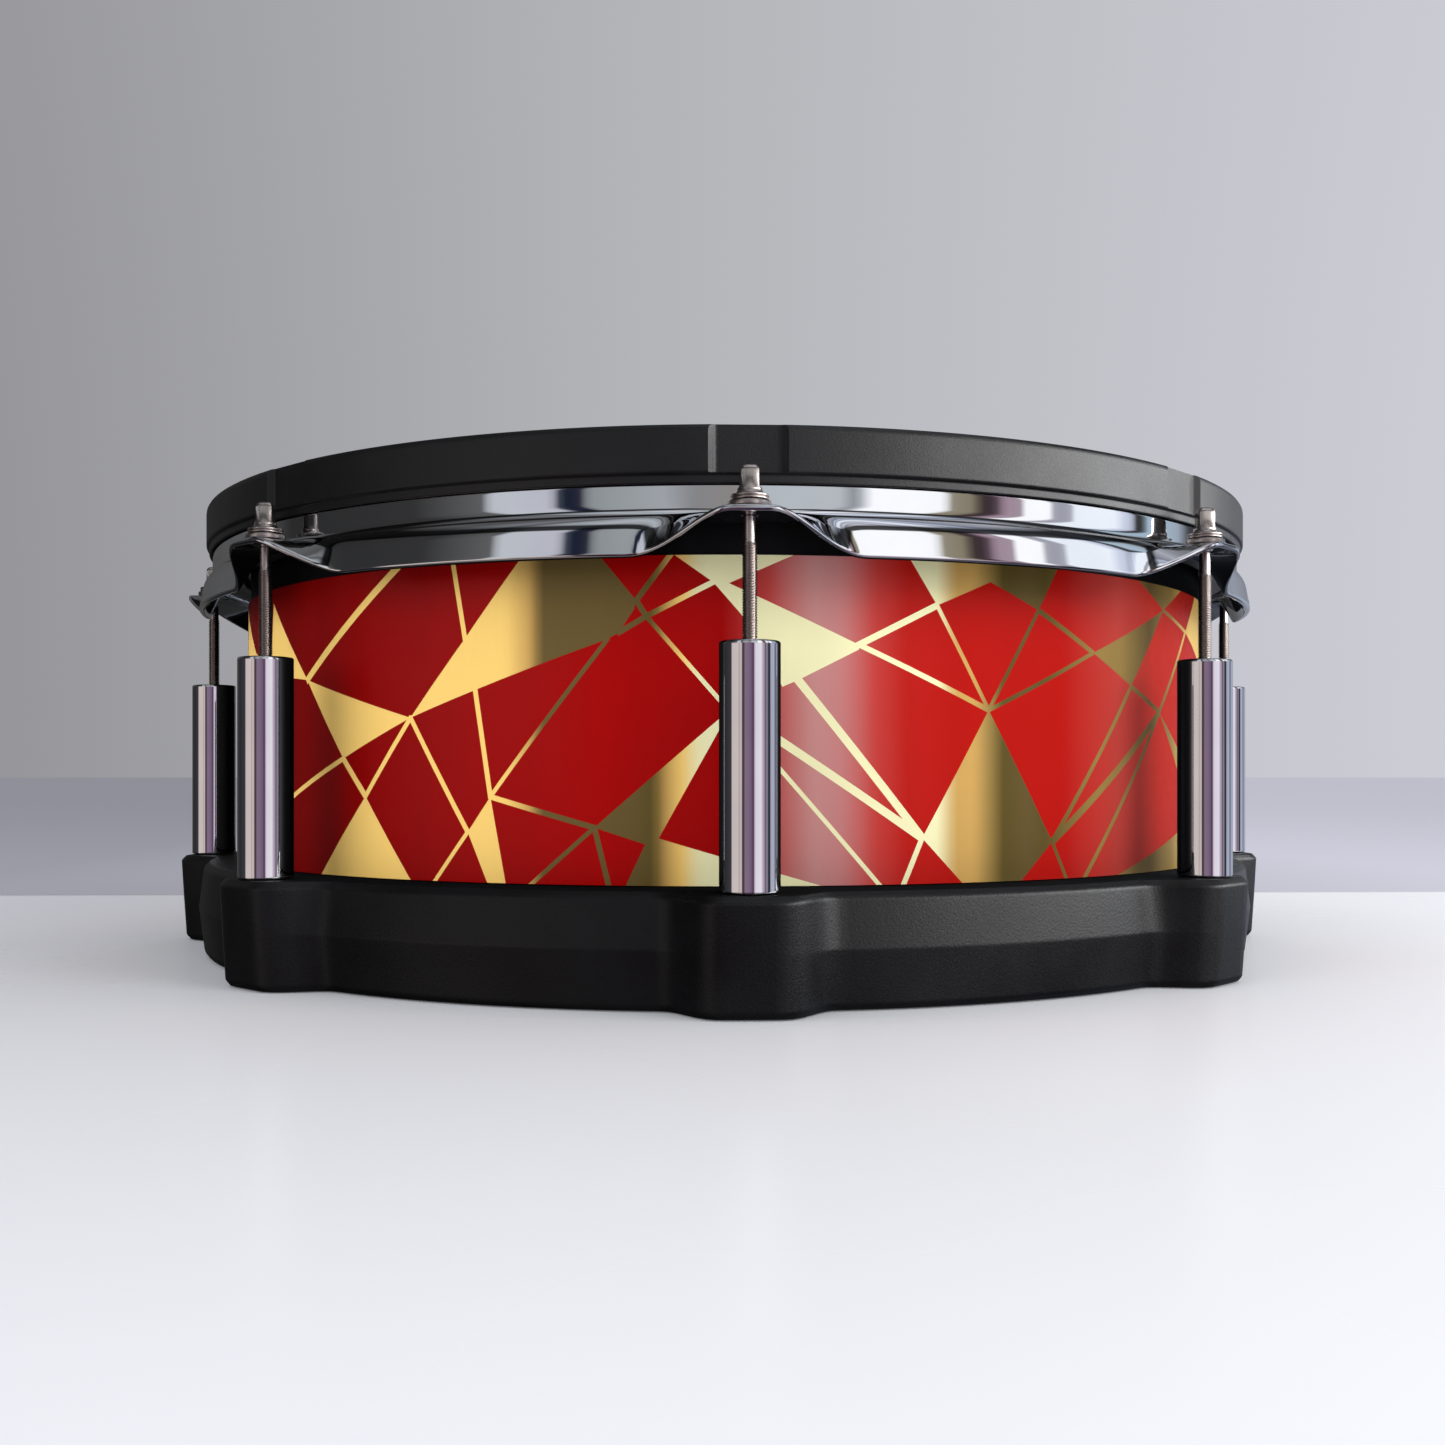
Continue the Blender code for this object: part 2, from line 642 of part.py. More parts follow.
def main():
    plastic = material("base_plastic", (0.018, 0.018, 0.020), 0.55)
    shell_black = material("shell_black", (0.012, 0.012, 0.013), 0.5)
    wrap = material("shell_wrap", (0.45, 0.01, 0.008), 0.25)
    chrome = material("chrome", (0.75, 0.76, 0.79), 0.08, 1.0)
    rod_steel = material("rod_steel", (0.42, 0.36, 0.33), 0.3, 1.0)
    steel = material("steel", (0.5, 0.5, 0.52), 0.35, 1.0)
    brass = material("brass", (0.65, 0.48, 0.2), 0.3, 1.0)
    rubber = material("rubber", (0.02, 0.02, 0.022), 0.7)
    head_mesh = material("head_mesh", (0.75, 0.75, 0.73), 0.8)
    foam = material("foam", (0.05, 0.05, 0.055), 0.9)
    lead = material("lead_jacket", (0.03, 0.03, 0.03), 0.5)

    moving = bpy.data.objects.new("hoop_travel", None)
    PARTS.objects.link(moving)

    make_base_frame(plastic)
    make_shell(shell_black, wrap)
    make_head(head_mesh, steel, moving)
    make_hoop(chrome, moving)
    make_hoop_cover(rubber, moving)
    make_lugs(chrome, rod_steel, steel, brass, moving)
    make_bridge(steel, steel)
    make_sensors(foam, brass)
    make_jack(shell_black, steel)
    make_leads(lead)


clear_scene()
PARTS = new_collection("snare_drum_pad")
CUTTERS = new_collection("cutters")
main()
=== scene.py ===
"""Looks of the electronic snare drum pad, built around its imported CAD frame.

Sizes are in millimetres and become metres when a mesh is made. The frame has its origin at the
centre of the base's underside, +Z up, and one lug facing -Y, which is the front.
"""

import math

import bmesh
import bpy
from mathutils import Matrix, Vector
from mathutils.geometry import delaunay_2d_cdt


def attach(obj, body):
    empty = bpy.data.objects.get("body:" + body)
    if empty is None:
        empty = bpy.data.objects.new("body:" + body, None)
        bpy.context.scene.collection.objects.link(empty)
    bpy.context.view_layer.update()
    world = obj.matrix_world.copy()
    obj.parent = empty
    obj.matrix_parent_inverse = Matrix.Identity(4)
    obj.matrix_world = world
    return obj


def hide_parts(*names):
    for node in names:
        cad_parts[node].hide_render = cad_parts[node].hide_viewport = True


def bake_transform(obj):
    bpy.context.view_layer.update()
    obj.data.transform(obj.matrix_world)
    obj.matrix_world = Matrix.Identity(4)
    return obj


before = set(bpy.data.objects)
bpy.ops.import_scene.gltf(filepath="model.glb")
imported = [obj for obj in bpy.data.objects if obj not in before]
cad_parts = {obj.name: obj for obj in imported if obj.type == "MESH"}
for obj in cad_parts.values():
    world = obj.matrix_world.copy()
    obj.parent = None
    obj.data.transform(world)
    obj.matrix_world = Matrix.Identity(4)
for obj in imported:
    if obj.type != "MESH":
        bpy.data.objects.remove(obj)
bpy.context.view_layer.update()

MM = 0.001
GAP = 0.3
LUGS = 8
LUG_ANGLES = [math.radians(-90.0 + n * 360.0 / LUGS) for n in range(LUGS)]
LUG_CIRCLE_R = 194.0

# base frame
BASE_H = 31.2
BASE_DECK_T = 3.6
BASE_WALL_T = 3.8
BASE_HOLE_R = 158.0
BASE_LIP_T = 3.2
BASE_LIP_BOTTOM = 14.0
# heights up the outer wall, with its radius between the lobes and on a lobe's nose, and the
# reach of the rounding there
BASE_OUTER = [
    (BASE_H, 187.0, 201.8, 0.4),
    (29.4, 188.8, 203.6, 0.6),
    (16.2, 190.4, 202.8, 0.4),
    (1.6, 188.6, 201.8, 0.6),
    (0.0, 187.3, 200.4, 0.5),
]
LOBE_FLAT = 8.0
LOBE_HALF = 24.0
BOSS_R = 7.0
BOSS_BOTTOM = 5.0
RIB_T = 2.0
RIB_BOTTOM = 9.0
LOBE_RIB_END = 199.5
WALL_RIB_END = 186.5
BASE_STOPS = 56              # sections of the base between one lug and the next

# shell and wrap
SHELL_R = 173.3
SHELL_T = 6.0
SHELL_BOTTOM = BASE_H + GAP
SHELL_TOP = 140.7
WRAP_R = 174.3
WRAP_T = 0.7
WRAP_TOP = 120.0

# membrane and flesh hoop
HEAD_TOP = 142.0
HEAD_R = 172.5
HEAD_COLLAR_R = 175.2
HEAD_COLLAR_BOTTOM = 132.6
HEAD_T = 0.6
FLESH_R_IN = 175.8
FLESH_R_OUT = 183.6
FLESH_TOP = 135.8
FLESH_BOTTOM = 128.0

# steel hoop
HOOP_T = 1.8
HOOP_TOP = 149.6
HOOP_UPPER_R = 181.0
HOOP_STEP_TOP = 139.6
HOOP_NECK_R = 186.0
HOOP_STEP_BOTTOM = 137.6
HOOP_NECK_BOTTOM = 129.8
EAR_Z = 128.7
EAR_TIP_R = 201.6
EAR_ROOT_R = 187.2
EAR_FLAT = 5.0
EAR_HALF = 32.0
EAR_EASE = 0.88
HOOP_STOPS = 90
SKIRT_MID = (188.8, 126.4)
SKIRT_TIP = (190.4, 117.4)

# rubber cover
COVER_R = 188.0
COVER_TOP = 152.0
COVER_FACE_BOTTOM = 139.3
COVER_LIP_R = 187.1
COVER_LIP_BOTTOM = 136.6
COVER_INNER_R = 176.6
COVER_INNER_BOTTOM = 143.5
RECESS_FLOOR_W = 17.0
RECESS_MOUTH_W = 21.6
RECESS_FLOOR_R = 186.0

# lugs and rods
TUBE_R = 7.85
TUBE_TOP = 95.1
TUBE_BORE_R = 5.6
TUBE_PLUG_TOP = 46.5
TUBE_PLUG_BORE_R = 2.4
INSERT_R = TUBE_BORE_R - GAP
INSERT_BORE_R = 2.35
INSERT_TOP = TUBE_TOP - 0.8
INSERT_L = 12.0
ROD_R = 2.0
ROD_ROOT_R = 1.62
ROD_PITCH = 0.7
ROD_SHANK_R = 1.6
ROD_BOTTOM = 68.0
THREAD_BOTTOM = 84.0         # below this the rod is out of sight inside the tube
THREAD_TOP = 120.6
ROD_HOLE_R = 2.6
WASHER_R = 5.7
WASHER_BOTTOM = EAR_Z + GAP
WASHER_T = 1.5
FLANGE_R = 5.0
FLANGE_BOTTOM = WASHER_BOTTOM + WASHER_T + GAP
FLANGE_T = 1.4
CONE_H = 1.6
KEY_SIDE = 4.9
KEY_H = 6.2
LUG_SCREW_R = 2.1
LUG_SCREW_TOP = 43.0
LUG_SCREW_HEAD_R = 3.8
LUG_SCREW_HEAD_H = 2.8

# sensors and jack
BRIDGE_W = 30.0
BRIDGE_T = 3.0
BRIDGE_FOOT_X = 165.0
BRIDGE_BEND_X = 156.0
BRIDGE_SHOULDER_X = 120.0
BRIDGE_TOP = 91.0
BRIDGE_SCREWS = (-162.0, 162.0)
BRIDGE_SCREW_R = 1.5
BRIDGE_SCREW_HOLE_R = 1.8
BRIDGE_SCREW_HEAD_R = 2.6
BRIDGE_SCREW_HEAD_H = 1.8
BRIDGE_SCREW_BOTTOM = 18.0
BRIDGE_BOSS_R = 4.5
CUSHION_R = 19.0
CUSHION_T = 3.0
RIM_PIEZO_X = 60.0
JACK_Y = 142.0
JACK_BODY = (16.0, 16.0, 20.0)
JACK_HOLE_R = 4.9
JACK_SLEEVE_R = 4.6
JACK_SLEEVE_BOTTOM = 20.0
JACK_BORE_R = 3.35
JACK_BORE_TOP = 48.0
JACK_NUT_R = 7.5
JACK_NUT_BORE_R = 5.2
JACK_NUT_T = 2.4
LEDGE_W = 40.0
LEDGE_FRONT_Y = 126.0
LEAD_D = 2.0


# ---- nodes and materials

def node(tree, kind, inputs=None, **settings):
    """A shader node. inputs gives a socket, by name or number, its value or its link."""
    made = tree.nodes.new("ShaderNode" + kind)
    for key, value in settings.items():
        setattr(made, key, value)
    for key, value in (inputs or {}).items():
        if isinstance(value, bpy.types.NodeSocket):
            tree.links.new(value, made.inputs[key])
        else:
            made.inputs[key].default_value = value
    return made


def math_node(tree, operation, a, b=0.0, c=0.0):
    return node(tree, "Math", {0: a, 1: b, 2: c}, operation=operation).outputs[0]


def ramp(tree, position, stops):
    """A colour ramp through (place, (r, g, b)) stops."""
    made = node(tree, "ValToRGB", {0: position})
    elements = made.color_ramp.elements
    elements[0].position = stops[0][0]
    elements[0].color = (*stops[0][1], 1.0)
    elements[1].position = stops[-1][0]
    elements[1].color = (*stops[-1][1], 1.0)
    for place, color in stops[1:-1]:
        elements.new(place).color = (*color, 1.0)
    return made.outputs[0]


def grey(value):
    return (value, value, value)


def noise(tree, scale, detail=3.0, stretch=(1.0, 1.0, 1.0)):
    """Noise in the piece's own coordinates. scale is in features per metre."""
    place = node(tree, "TexCoord").outputs["Object"]
    if stretch != (1.0, 1.0, 1.0):
        place = node(tree, "Mapping", {0: place, "Scale": stretch}).outputs[0]
    return node(tree, "TexNoise", {"Vector": place, "Scale": scale, "Detail": detail}).outputs[0]


def spread(tree, value, low, high, start=0.3, end=0.7):
    """value, from start to end, moved to the range from low to high."""
    made = node(tree, "MapRange", {0: value, 1: start, 2: end, 3: low, 4: high})
    return made.outputs[0]


def mixed(tree, factor, a, b):
    made = node(tree, "Mix", {0: factor}, data_type="RGBA")
    for socket, value in ((made.inputs[6], a), (made.inputs[7], b)):
        if isinstance(value, bpy.types.NodeSocket):
            tree.links.new(value, socket)
        else:
            socket.default_value = (*value, 1.0)
    return made.outputs[2]


def bump(tree, height, distance, strength=1.0, below=None):
    inputs = {"Height": height, "Distance": distance, "Strength": strength}
    if below is not None:
        inputs["Normal"] = below
    return node(tree, "Bump", inputs).outputs[0]


def new_material(name, inputs):
    made = bpy.data.materials.new(name)
    made.use_nodes = True
    tree = made.node_tree
    shader = tree.nodes["Principled BSDF"]
    for key, value in inputs.items():
        shader.inputs[key].default_value = value
    return made, tree, shader


def connect(tree, shader, **links):
    for key, value in links.items():
        tree.links.new(value, shader.inputs[key.replace("_", " ")])


def black_material(name, dark, light, rough, grain, depth, specular=0.5):
    """Black plastic or rubber: a fine moulded grain, larger cloudy wear, and paler edges."""
    made, tree, shader = new_material(name, {"Specular IOR Level": specular})
    cloud = noise(tree, 28.0, 4.0)
    fine = noise(tree, grain, 2.0)
    edges = node(tree, "NewGeometry").outputs["Pointiness"]
    # Convex edges, found from the mesh's pointiness, are made paler.
    edge_paling = spread(tree, edges, 0.0, 1.0, 0.54, 0.62)
    color = mixed(tree, spread(tree, cloud, 0.0, 1.0), dark, light)
    color = mixed(tree, math_node(tree, "MULTIPLY", edge_paling, 0.35), color, tuple(2.2 * c for c in light))
    low, high = rough
    roughness = math_node(tree, "ADD", spread(tree, cloud, low, high), spread(tree, fine, -0.03, 0.03))
    connect(tree, shader, Base_Color=color, Roughness=roughness, Normal=bump(tree, fine, depth))
    return made


def metal_material(name, color, shade, rough, wave=0.0, stretch=(1.0, 1.0, 1.0)):
    """Metal with faint stains and smears. wave is the depth of the surface's slow ripple."""
    made, tree, shader = new_material(name, {"Metallic": 1.0})
    cloud = noise(tree, 45.0, 5.0)
    streaks = noise(tree, 600.0, 3.0, stretch)
    low, high = rough
    connect(tree, shader,
            Base_Color=mixed(tree, spread(tree, cloud, 0.0, 1.0), color, shade),
            Roughness=math_node(tree, "ADD", spread(tree, cloud, low, high),
                                spread(tree, streaks, 0.0, 0.5 * (high - low))))
    if wave:
        connect(tree, shader, Normal=bump(tree, noise(tree, 22.0, 1.0), wave))
    return made


# The wrap's print: red and gold whose tone changes round the drum. Much of that tone is painted light:
# the gold's pale and dark bands are painted reflections of bright and dark parts of the room, and the
# red carries a painted rose highlight a little right of the front and grows darker towards the left.
# Angles are in degrees from the front lug, to the right, and the print, with its painted tones, is the
# same on the back half.
BRONZE = (0.14, 0.095, 0.03)
OLIVE = (0.12, 0.085, 0.02)
WARM_GOLD = (0.98, 0.65, 0.18)
PALE_GOLD = (0.97, 0.93, 0.54)
OCHRE = (0.65, 0.39, 0.11)
OLD_GOLD = (0.35, 0.23, 0.065)
# Pale bands are painted reflections of bright parts of the room; bronze, olive and old gold bands are painted
# reflections of dark parts.
GOLD_TONES_AND_PAINTED_REFLECTIONS = [
    (-90, WARM_GOLD), (-22, WARM_GOLD), (-19.8, OCHRE), (-18.6, BRONZE), (-10, BRONZE), (-8, OLIVE),
    (-6.8, OCHRE), (-5.6, WARM_GOLD), (-4, PALE_GOLD), (17.5, PALE_GOLD), (19.4, OCHRE), (21.4, OCHRE),
    (23, OLD_GOLD), (24.5, OLIVE), (27.5, BRONZE), (29.8, OLIVE), (37, OLD_GOLD), (41, OLD_GOLD),
    (46.5, BRONZE), (52, OLD_GOLD), (58, WARM_GOLD), (90, WARM_GOLD),
]
DEEP_RED = (0.16, 0.0, 0.0)
DARK_RED = (0.25, 0.0, 0.0)
RED = (0.35, 0.0, 0.0)
BRIGHT_RED = (0.48, 0.005, 0.002)
# A painted highlight on the red, a little right of the front.
ROSE_PAINTED_HIGHLIGHT = (0.59, 0.27, 0.25)
PALE_RED = (0.55, 0.055, 0.042)
RED_TONES_AND_PAINTED_HIGHLIGHT = [
    (-90, DEEP_RED), (-53, DEEP_RED), (-42, (0.23, 0.0, 0.0)), (-31, DARK_RED), (-13, RED), (-2, RED),
    (2, (0.49, 0.05, 0.045)), (6, ROSE_PAINTED_HIGHLIGHT), (8.4, (0.58, 0.22, 0.21)), (11.5, (0.55, 0.05, 0.042)),
    (14.5, (0.50, 0.01, 0.006)), (20, BRIGHT_RED), (32, BRIGHT_RED), (40, PALE_RED),
    (48, (0.55, 0.025, 0.012)), (70, BRIGHT_RED), (90, DEEP_RED),
]


def print_and_painted_sheen_material(name, tones, metallic, roughness):
    made, tree, shader = new_material(
        name, {"Metallic": metallic, "Coat Weight": 0.08, "Coat Roughness": 0.25, "Specular IOR Level": 0.04})
    place = node(tree, "SeparateXYZ", {0: node(tree, "TexCoord").outputs["Object"]})
    back = math_node(tree, "MULTIPLY", place.outputs[1], -1.0)
    angle = math_node(tree, "ARCTAN2", place.outputs[0], back)
    turn = math_node(tree, "FRACT", math_node(tree, "ADD", math_node(tree, "DIVIDE", angle, math.pi), 0.5))
    # The ramp paints the tones round the drum, painted reflections and a painted highlight among them.
    tone = ramp(tree, turn, [(degrees / 180.0 + 0.5, color) for degrees, color in tones])
    streak = spread(tree, noise(tree, 90.0, 3.0, (1.0, 1.0, 0.02)), 0.0, 0.05)
    tone = mixed(tree, streak, tone, grey(0.0))
    rough = spread(tree, noise(tree, 260.0, 4.0), roughness - 0.05, roughness + 0.05)
    connect(tree, shader, Base_Color=tone, Roughness=rough,
            Normal=bump(tree, noise(tree, 900.0, 2.0), 0.000012))
    return made


def woven_material():
    """The head: white threads over and under each other, a little over a millimetre apart."""
    made, tree, shader = new_material("head_mesh_white", {"Sheen Weight": 0.3, "Specular IOR Level": 0.25})
    place = node(tree, "SeparateXYZ", {0: node(tree, "TexCoord").outputs["Object"]})
    spacing = 2.0 * math.pi / (1.25 * MM)

    def wave(axis, rate):
        return math_node(tree, "SINE", math_node(tree, "MULTIPLY", place.outputs[axis], rate))

    threads = [math_node(tree, "ABSOLUTE", wave(axis, spacing)) for axis in (0, 1)]
    over = math_node(tree, "MULTIPLY", wave(0, 0.5 * spacing), wave(1, 0.5 * spacing))
    height = math_node(tree, "ADD", math_node(tree, "MAXIMUM", *threads),
                       math_node(tree, "MULTIPLY", over, 0.35))
    cloud = noise(tree, 14.0, 4.0)
    white = mixed(tree, spread(tree, cloud, 0.0, 1.0), (0.78, 0.78, 0.76), (0.70, 0.70, 0.68))
    # The low parts of the weave are painted darker grey: painted shade between and under the threads.
    color = mixed(tree, spread(tree, height, 0.0, 1.0, 0.1, 0.9), (0.42, 0.42, 0.41), white)
    connect(tree, shader, Base_Color=color, Roughness=spread(tree, cloud, 0.6, 0.75),
            Normal=bump(tree, height, 0.00015))
    return made


def foam_material():
    made, tree, shader = new_material("sensor_foam", {"Specular IOR Level": 0.2})
    place = node(tree, "TexCoord").outputs["Object"]
    cells = node(tree, "TexVoronoi", {"Vector": place, "Scale": 900.0}).outputs["Distance"]
    color = mixed(tree, spread(tree, cells, 0.0, 1.0, 0.1, 0.6), (0.012, 0.012, 0.013), (0.055, 0.055, 0.06))
    connect(tree, shader, Base_Color=color, Roughness=spread(tree, cells, 0.85, 0.98),
            Normal=bump(tree, cells, 0.0004))
    return made


def make_materials():
    across = (1.0, 1.0, 0.1)
    return {
        "plastic": black_material("base_black", (0.0018, 0.0018, 0.002), (0.004, 0.004, 0.005),
                                  (0.36, 0.46), 1500.0, 0.00006, 0.32),
        "shell": black_material("shell_black_satin", (0.003, 0.003, 0.004), (0.006, 0.006, 0.007),
                                (0.38, 0.48), 700.0, 0.00003, 0.2),
        "rubber": black_material("cover_rubber", (0.002, 0.002, 0.0025), (0.004, 0.004, 0.005),
                                 (0.36, 0.46), 1900.0, 0.00005, 0.5),
        "lead": black_material("lead_black", (0.010, 0.010, 0.010), (0.02, 0.02, 0.02),
                               (0.4, 0.5), 1200.0, 0.00003),
        "red": print_and_painted_sheen_material("wrap_red", RED_TONES_AND_PAINTED_HIGHLIGHT, 0.0, 0.42),
        "gold": print_and_painted_sheen_material("wrap_gold", GOLD_TONES_AND_PAINTED_REFLECTIONS, 0.12, 0.42),
        "chrome": metal_material("chrome_plate", (0.78, 0.79, 0.82), (0.72, 0.73, 0.77),
                                 (0.015, 0.04), 0.00006),
        "rod": metal_material("rod_nickel", (0.62, 0.56, 0.53), (0.42, 0.37, 0.35),
                              (0.16, 0.3), stretch=across),
        "steel": metal_material("zinc_plate", (0.55, 0.55, 0.57), (0.42, 0.42, 0.43),
                                (0.28, 0.42), stretch=across),
        "brass": metal_material("brass_satin", (0.66, 0.47, 0.19), (0.5, 0.34, 0.13),
                                (0.22, 0.36), stretch=across),
        "ceramic": metal_material("piezo_silver", (0.8, 0.8, 0.78), (0.65, 0.65, 0.63), (0.45, 0.6)),
        "mesh": woven_material(),
        "foam": foam_material(),
    }


# ---- mesh helpers

def smoothed(mesh, angle=38.0):
    """mesh, shaded smooth except at edges sharper than angle, in degrees."""
    mesh.shade_smooth()
    mesh.set_sharp_from_angle(angle=math.radians(angle))
    return mesh


def mesh_from(name, bm, smooth_angle=38.0):
    made = bpy.data.meshes.new(name)
    bmesh.ops.recalc_face_normals(bm, faces=bm.faces)
    bm.to_mesh(made)
    bm.free()
    return smoothed(made, smooth_angle)


def link(name, mesh, mats):
    obj = bpy.data.objects.new(name, mesh)
    bpy.context.scene.collection.objects.link(obj)
    if isinstance(mesh, bpy.types.Mesh) and not mesh.materials:
        for mat in mats:
            mesh.materials.append(mat)
    return obj


def piece(name, mesh, mats, body, nodes, at=(0.0, 0.0, 0.0)):
    """A finished piece that stands for its CAD nodes and rides on their body."""
    obj = link(name, mesh, mats)
    obj.location = Vector(at) * MM
    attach(obj, body)
    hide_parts(*nodes)
    return obj


SUPPORT = 0.35               # millimetres from a corner to the row that ends its soft shading


def rounded(points, closed=True, steps=3):
    """An outline with rounded corners: each point is (r, z), or (r, z, reach) if it is rounded."""
    corners = []
    for n, point in enumerate(points):
        here = Vector(point[:2])
        if len(point) == 2 or not closed and n in (0, len(points) - 1):
            corners.append([here])
            continue
        back = Vector(points[n - 1][:2]) - here
        on = Vector(points[(n + 1) % len(points)][:2]) - here
        reach = min(point[2], 0.45 * back.length, 0.45 * on.length)
        start = here + back.normalized() * reach
        end = here + on.normalized() * reach
        corners.append([start * (1.0 - t) ** 2 + here * 2.0 * t * (1.0 - t) + end * t ** 2
                        for t in (k / steps for k in range(steps + 1))])
    out = []
    for n, corner in enumerate(corners):
        out += corner
        if closed or n < len(corners) - 1:
            start, end = corner[-1], corners[(n + 1) % len(corners)][0]
            share = min(SUPPORT / max((end - start).length, 0.001), 0.3)
            out += [start.lerp(end, share), start.lerp(end, 1.0 - share)]
    return [tuple(point) for point in out]


def bridge_rows(bm, row, after, material_index=0):
    """Faces between two rings of vertices; a ring of one vertex is a point on the axis."""
    count = max(len(row), len(after))
    for n in range(count):
        m = (n + 1) % count
        corners = [row[n % len(row)], row[m % len(row)], after[m % len(after)], after[n % len(after)]]
        corners = list(dict.fromkeys(corners))
        if len(corners) > 2:
            face = bm.faces.new(corners)
            face.material_index = material_index


def ring_row(bm, radius_at, z, steps):
    """One ring of a turned shape; radius_at takes the angle."""
    row = []
    for k in range(steps):
        angle = 2.0 * math.pi * k / steps
        r = radius_at(angle)
        row.append(bm.verts.new((r * math.cos(angle) * MM, r * math.sin(angle) * MM, z * MM)))
    return row


def circle_row(bm, r, z, steps):
    """A round ring, or one vertex where it is on the axis."""
    if r < 0.0001:
        return [bm.verts.new((0.0, 0.0, z * MM))]
    return ring_row(bm, lambda angle: r, z, steps)


def lathe(name, outline, steps, closed=True, tint=None):
    """A turned mesh. tint gives the material number of the faces after a point of the outline."""
    bm = bmesh.new()
    rows = [circle_row(bm, r, z, steps) for r, z in outline]
    for n in range(len(rows) if closed else len(rows) - 1):
        bridge_rows(bm, rows[n], rows[(n + 1) % len(rows)], tint(n) if tint else 0)
    return mesh_from(name, bm)


def ring_outline(r_in, r_out, bottom, top, reach):
    return rounded([(r_in, top, reach), (r_out, top, reach), (r_out, bottom, reach), (r_in, bottom, reach)])


def rise(distance, flat, half, ease=1.0):
    """1 on the lug, falling smoothly to 0 at half away from it. A lower ease gives a longer foot."""
    away = min(max(abs(distance) - flat, 0.0) / (half - flat), 1.0) ** ease
    return 0.5 * (1.0 + math.cos(math.pi * away))


def mix(a, b, t):
    return a + (b - a) * t


def loft_ring(name, section_at, stops):
    """A closed ring through a section that changes with the distance from the nearest lug."""
    bm = bmesh.new()
    rows = []
    sector = 2.0 * math.pi / LUGS
    for lug in LUG_ANGLES:
        for k in range(stops):
            turn = sector * (k / stops - 0.5)
            angle = lug + turn
            x, y = math.cos(angle), math.sin(angle)
            section = rounded(section_at(turn * LUG_CIRCLE_R))
            rows.append([bm.verts.new((r * x * MM, r * y * MM, z * MM)) for r, z in section])
    for row, after in zip(rows, rows[1:] + rows[:1]):
        bridge_rows(bm, row, after)
    return mesh_from(name, bm)


def add_cylinder(bm, radius, bottom, top, at, segments):
    place = Matrix.Translation((at[0] * MM, at[1] * MM, 0.5 * (bottom + top) * MM))
    bmesh.ops.create_cone(bm, cap_ends=True, segments=segments, radius1=radius * MM,
                          radius2=radius * MM, depth=(top - bottom) * MM, matrix=place)


def add_block(bm, size, centre, turn=0.0):
    place = Matrix.Rotation(turn, 4, "Z") @ Matrix.Translation(Vector(centre) * MM)
    scale = Matrix.Diagonal((size[0] * MM, size[1] * MM, size[2] * MM, 1.0))
    bmesh.ops.create_cube(bm, size=1.0, matrix=place @ scale)


def cut(mesh, steps):
    """mesh after exact booleans with (cutter bmesh, operation) steps."""
    obj = link("cut", mesh, [])
    tools = []
    for bm, operation in steps:
        tool = link("tool", mesh_from("tool", bm), [])
        step = obj.modifiers.new("cut", "BOOLEAN")
        step.object = tool
        step.operation = operation
        step.solver = "EXACT"
        step.use_self = True
        tools.append(tool)
    made = applied(obj)
    for tool in tools:
        bpy.data.objects.remove(tool, do_unlink=True)
    return smoothed(made)


def applied(obj):
    """obj's mesh with its modifiers applied; obj itself goes."""
    bpy.context.view_layer.update()
    shown = obj.evaluated_get(bpy.context.evaluated_depsgraph_get())
    made = bpy.data.meshes.new_from_object(shown)
    bpy.data.objects.remove(obj, do_unlink=True)
    return made


def lug_xy(n):
    return LUG_CIRCLE_R * math.cos(LUG_ANGLES[n]), LUG_CIRCLE_R * math.sin(LUG_ANGLES[n])


# ---- base and shell

def base_section(s):
    lobe = rise(s, LOBE_FLAT, LOBE_HALF)
    outer = [(mix(wall, nose, lobe), z, reach) for z, wall, nose, reach in BASE_OUTER]
    foot_r = outer[-2][0] - BASE_WALL_T
    deck_bottom = BASE_H - BASE_DECK_T
    lip_r = BASE_HOLE_R + BASE_LIP_T
    return [(BASE_HOLE_R, BASE_H, 0.8)] + outer + [
        (foot_r, 0.0, 0.5),
        (foot_r - 0.8, deck_bottom, 1.0),
        (lip_r, deck_bottom, 1.0),
        (lip_r, BASE_LIP_BOTTOM, 0.6),
        (BASE_HOLE_R, BASE_LIP_BOTTOM, 0.6),
    ]


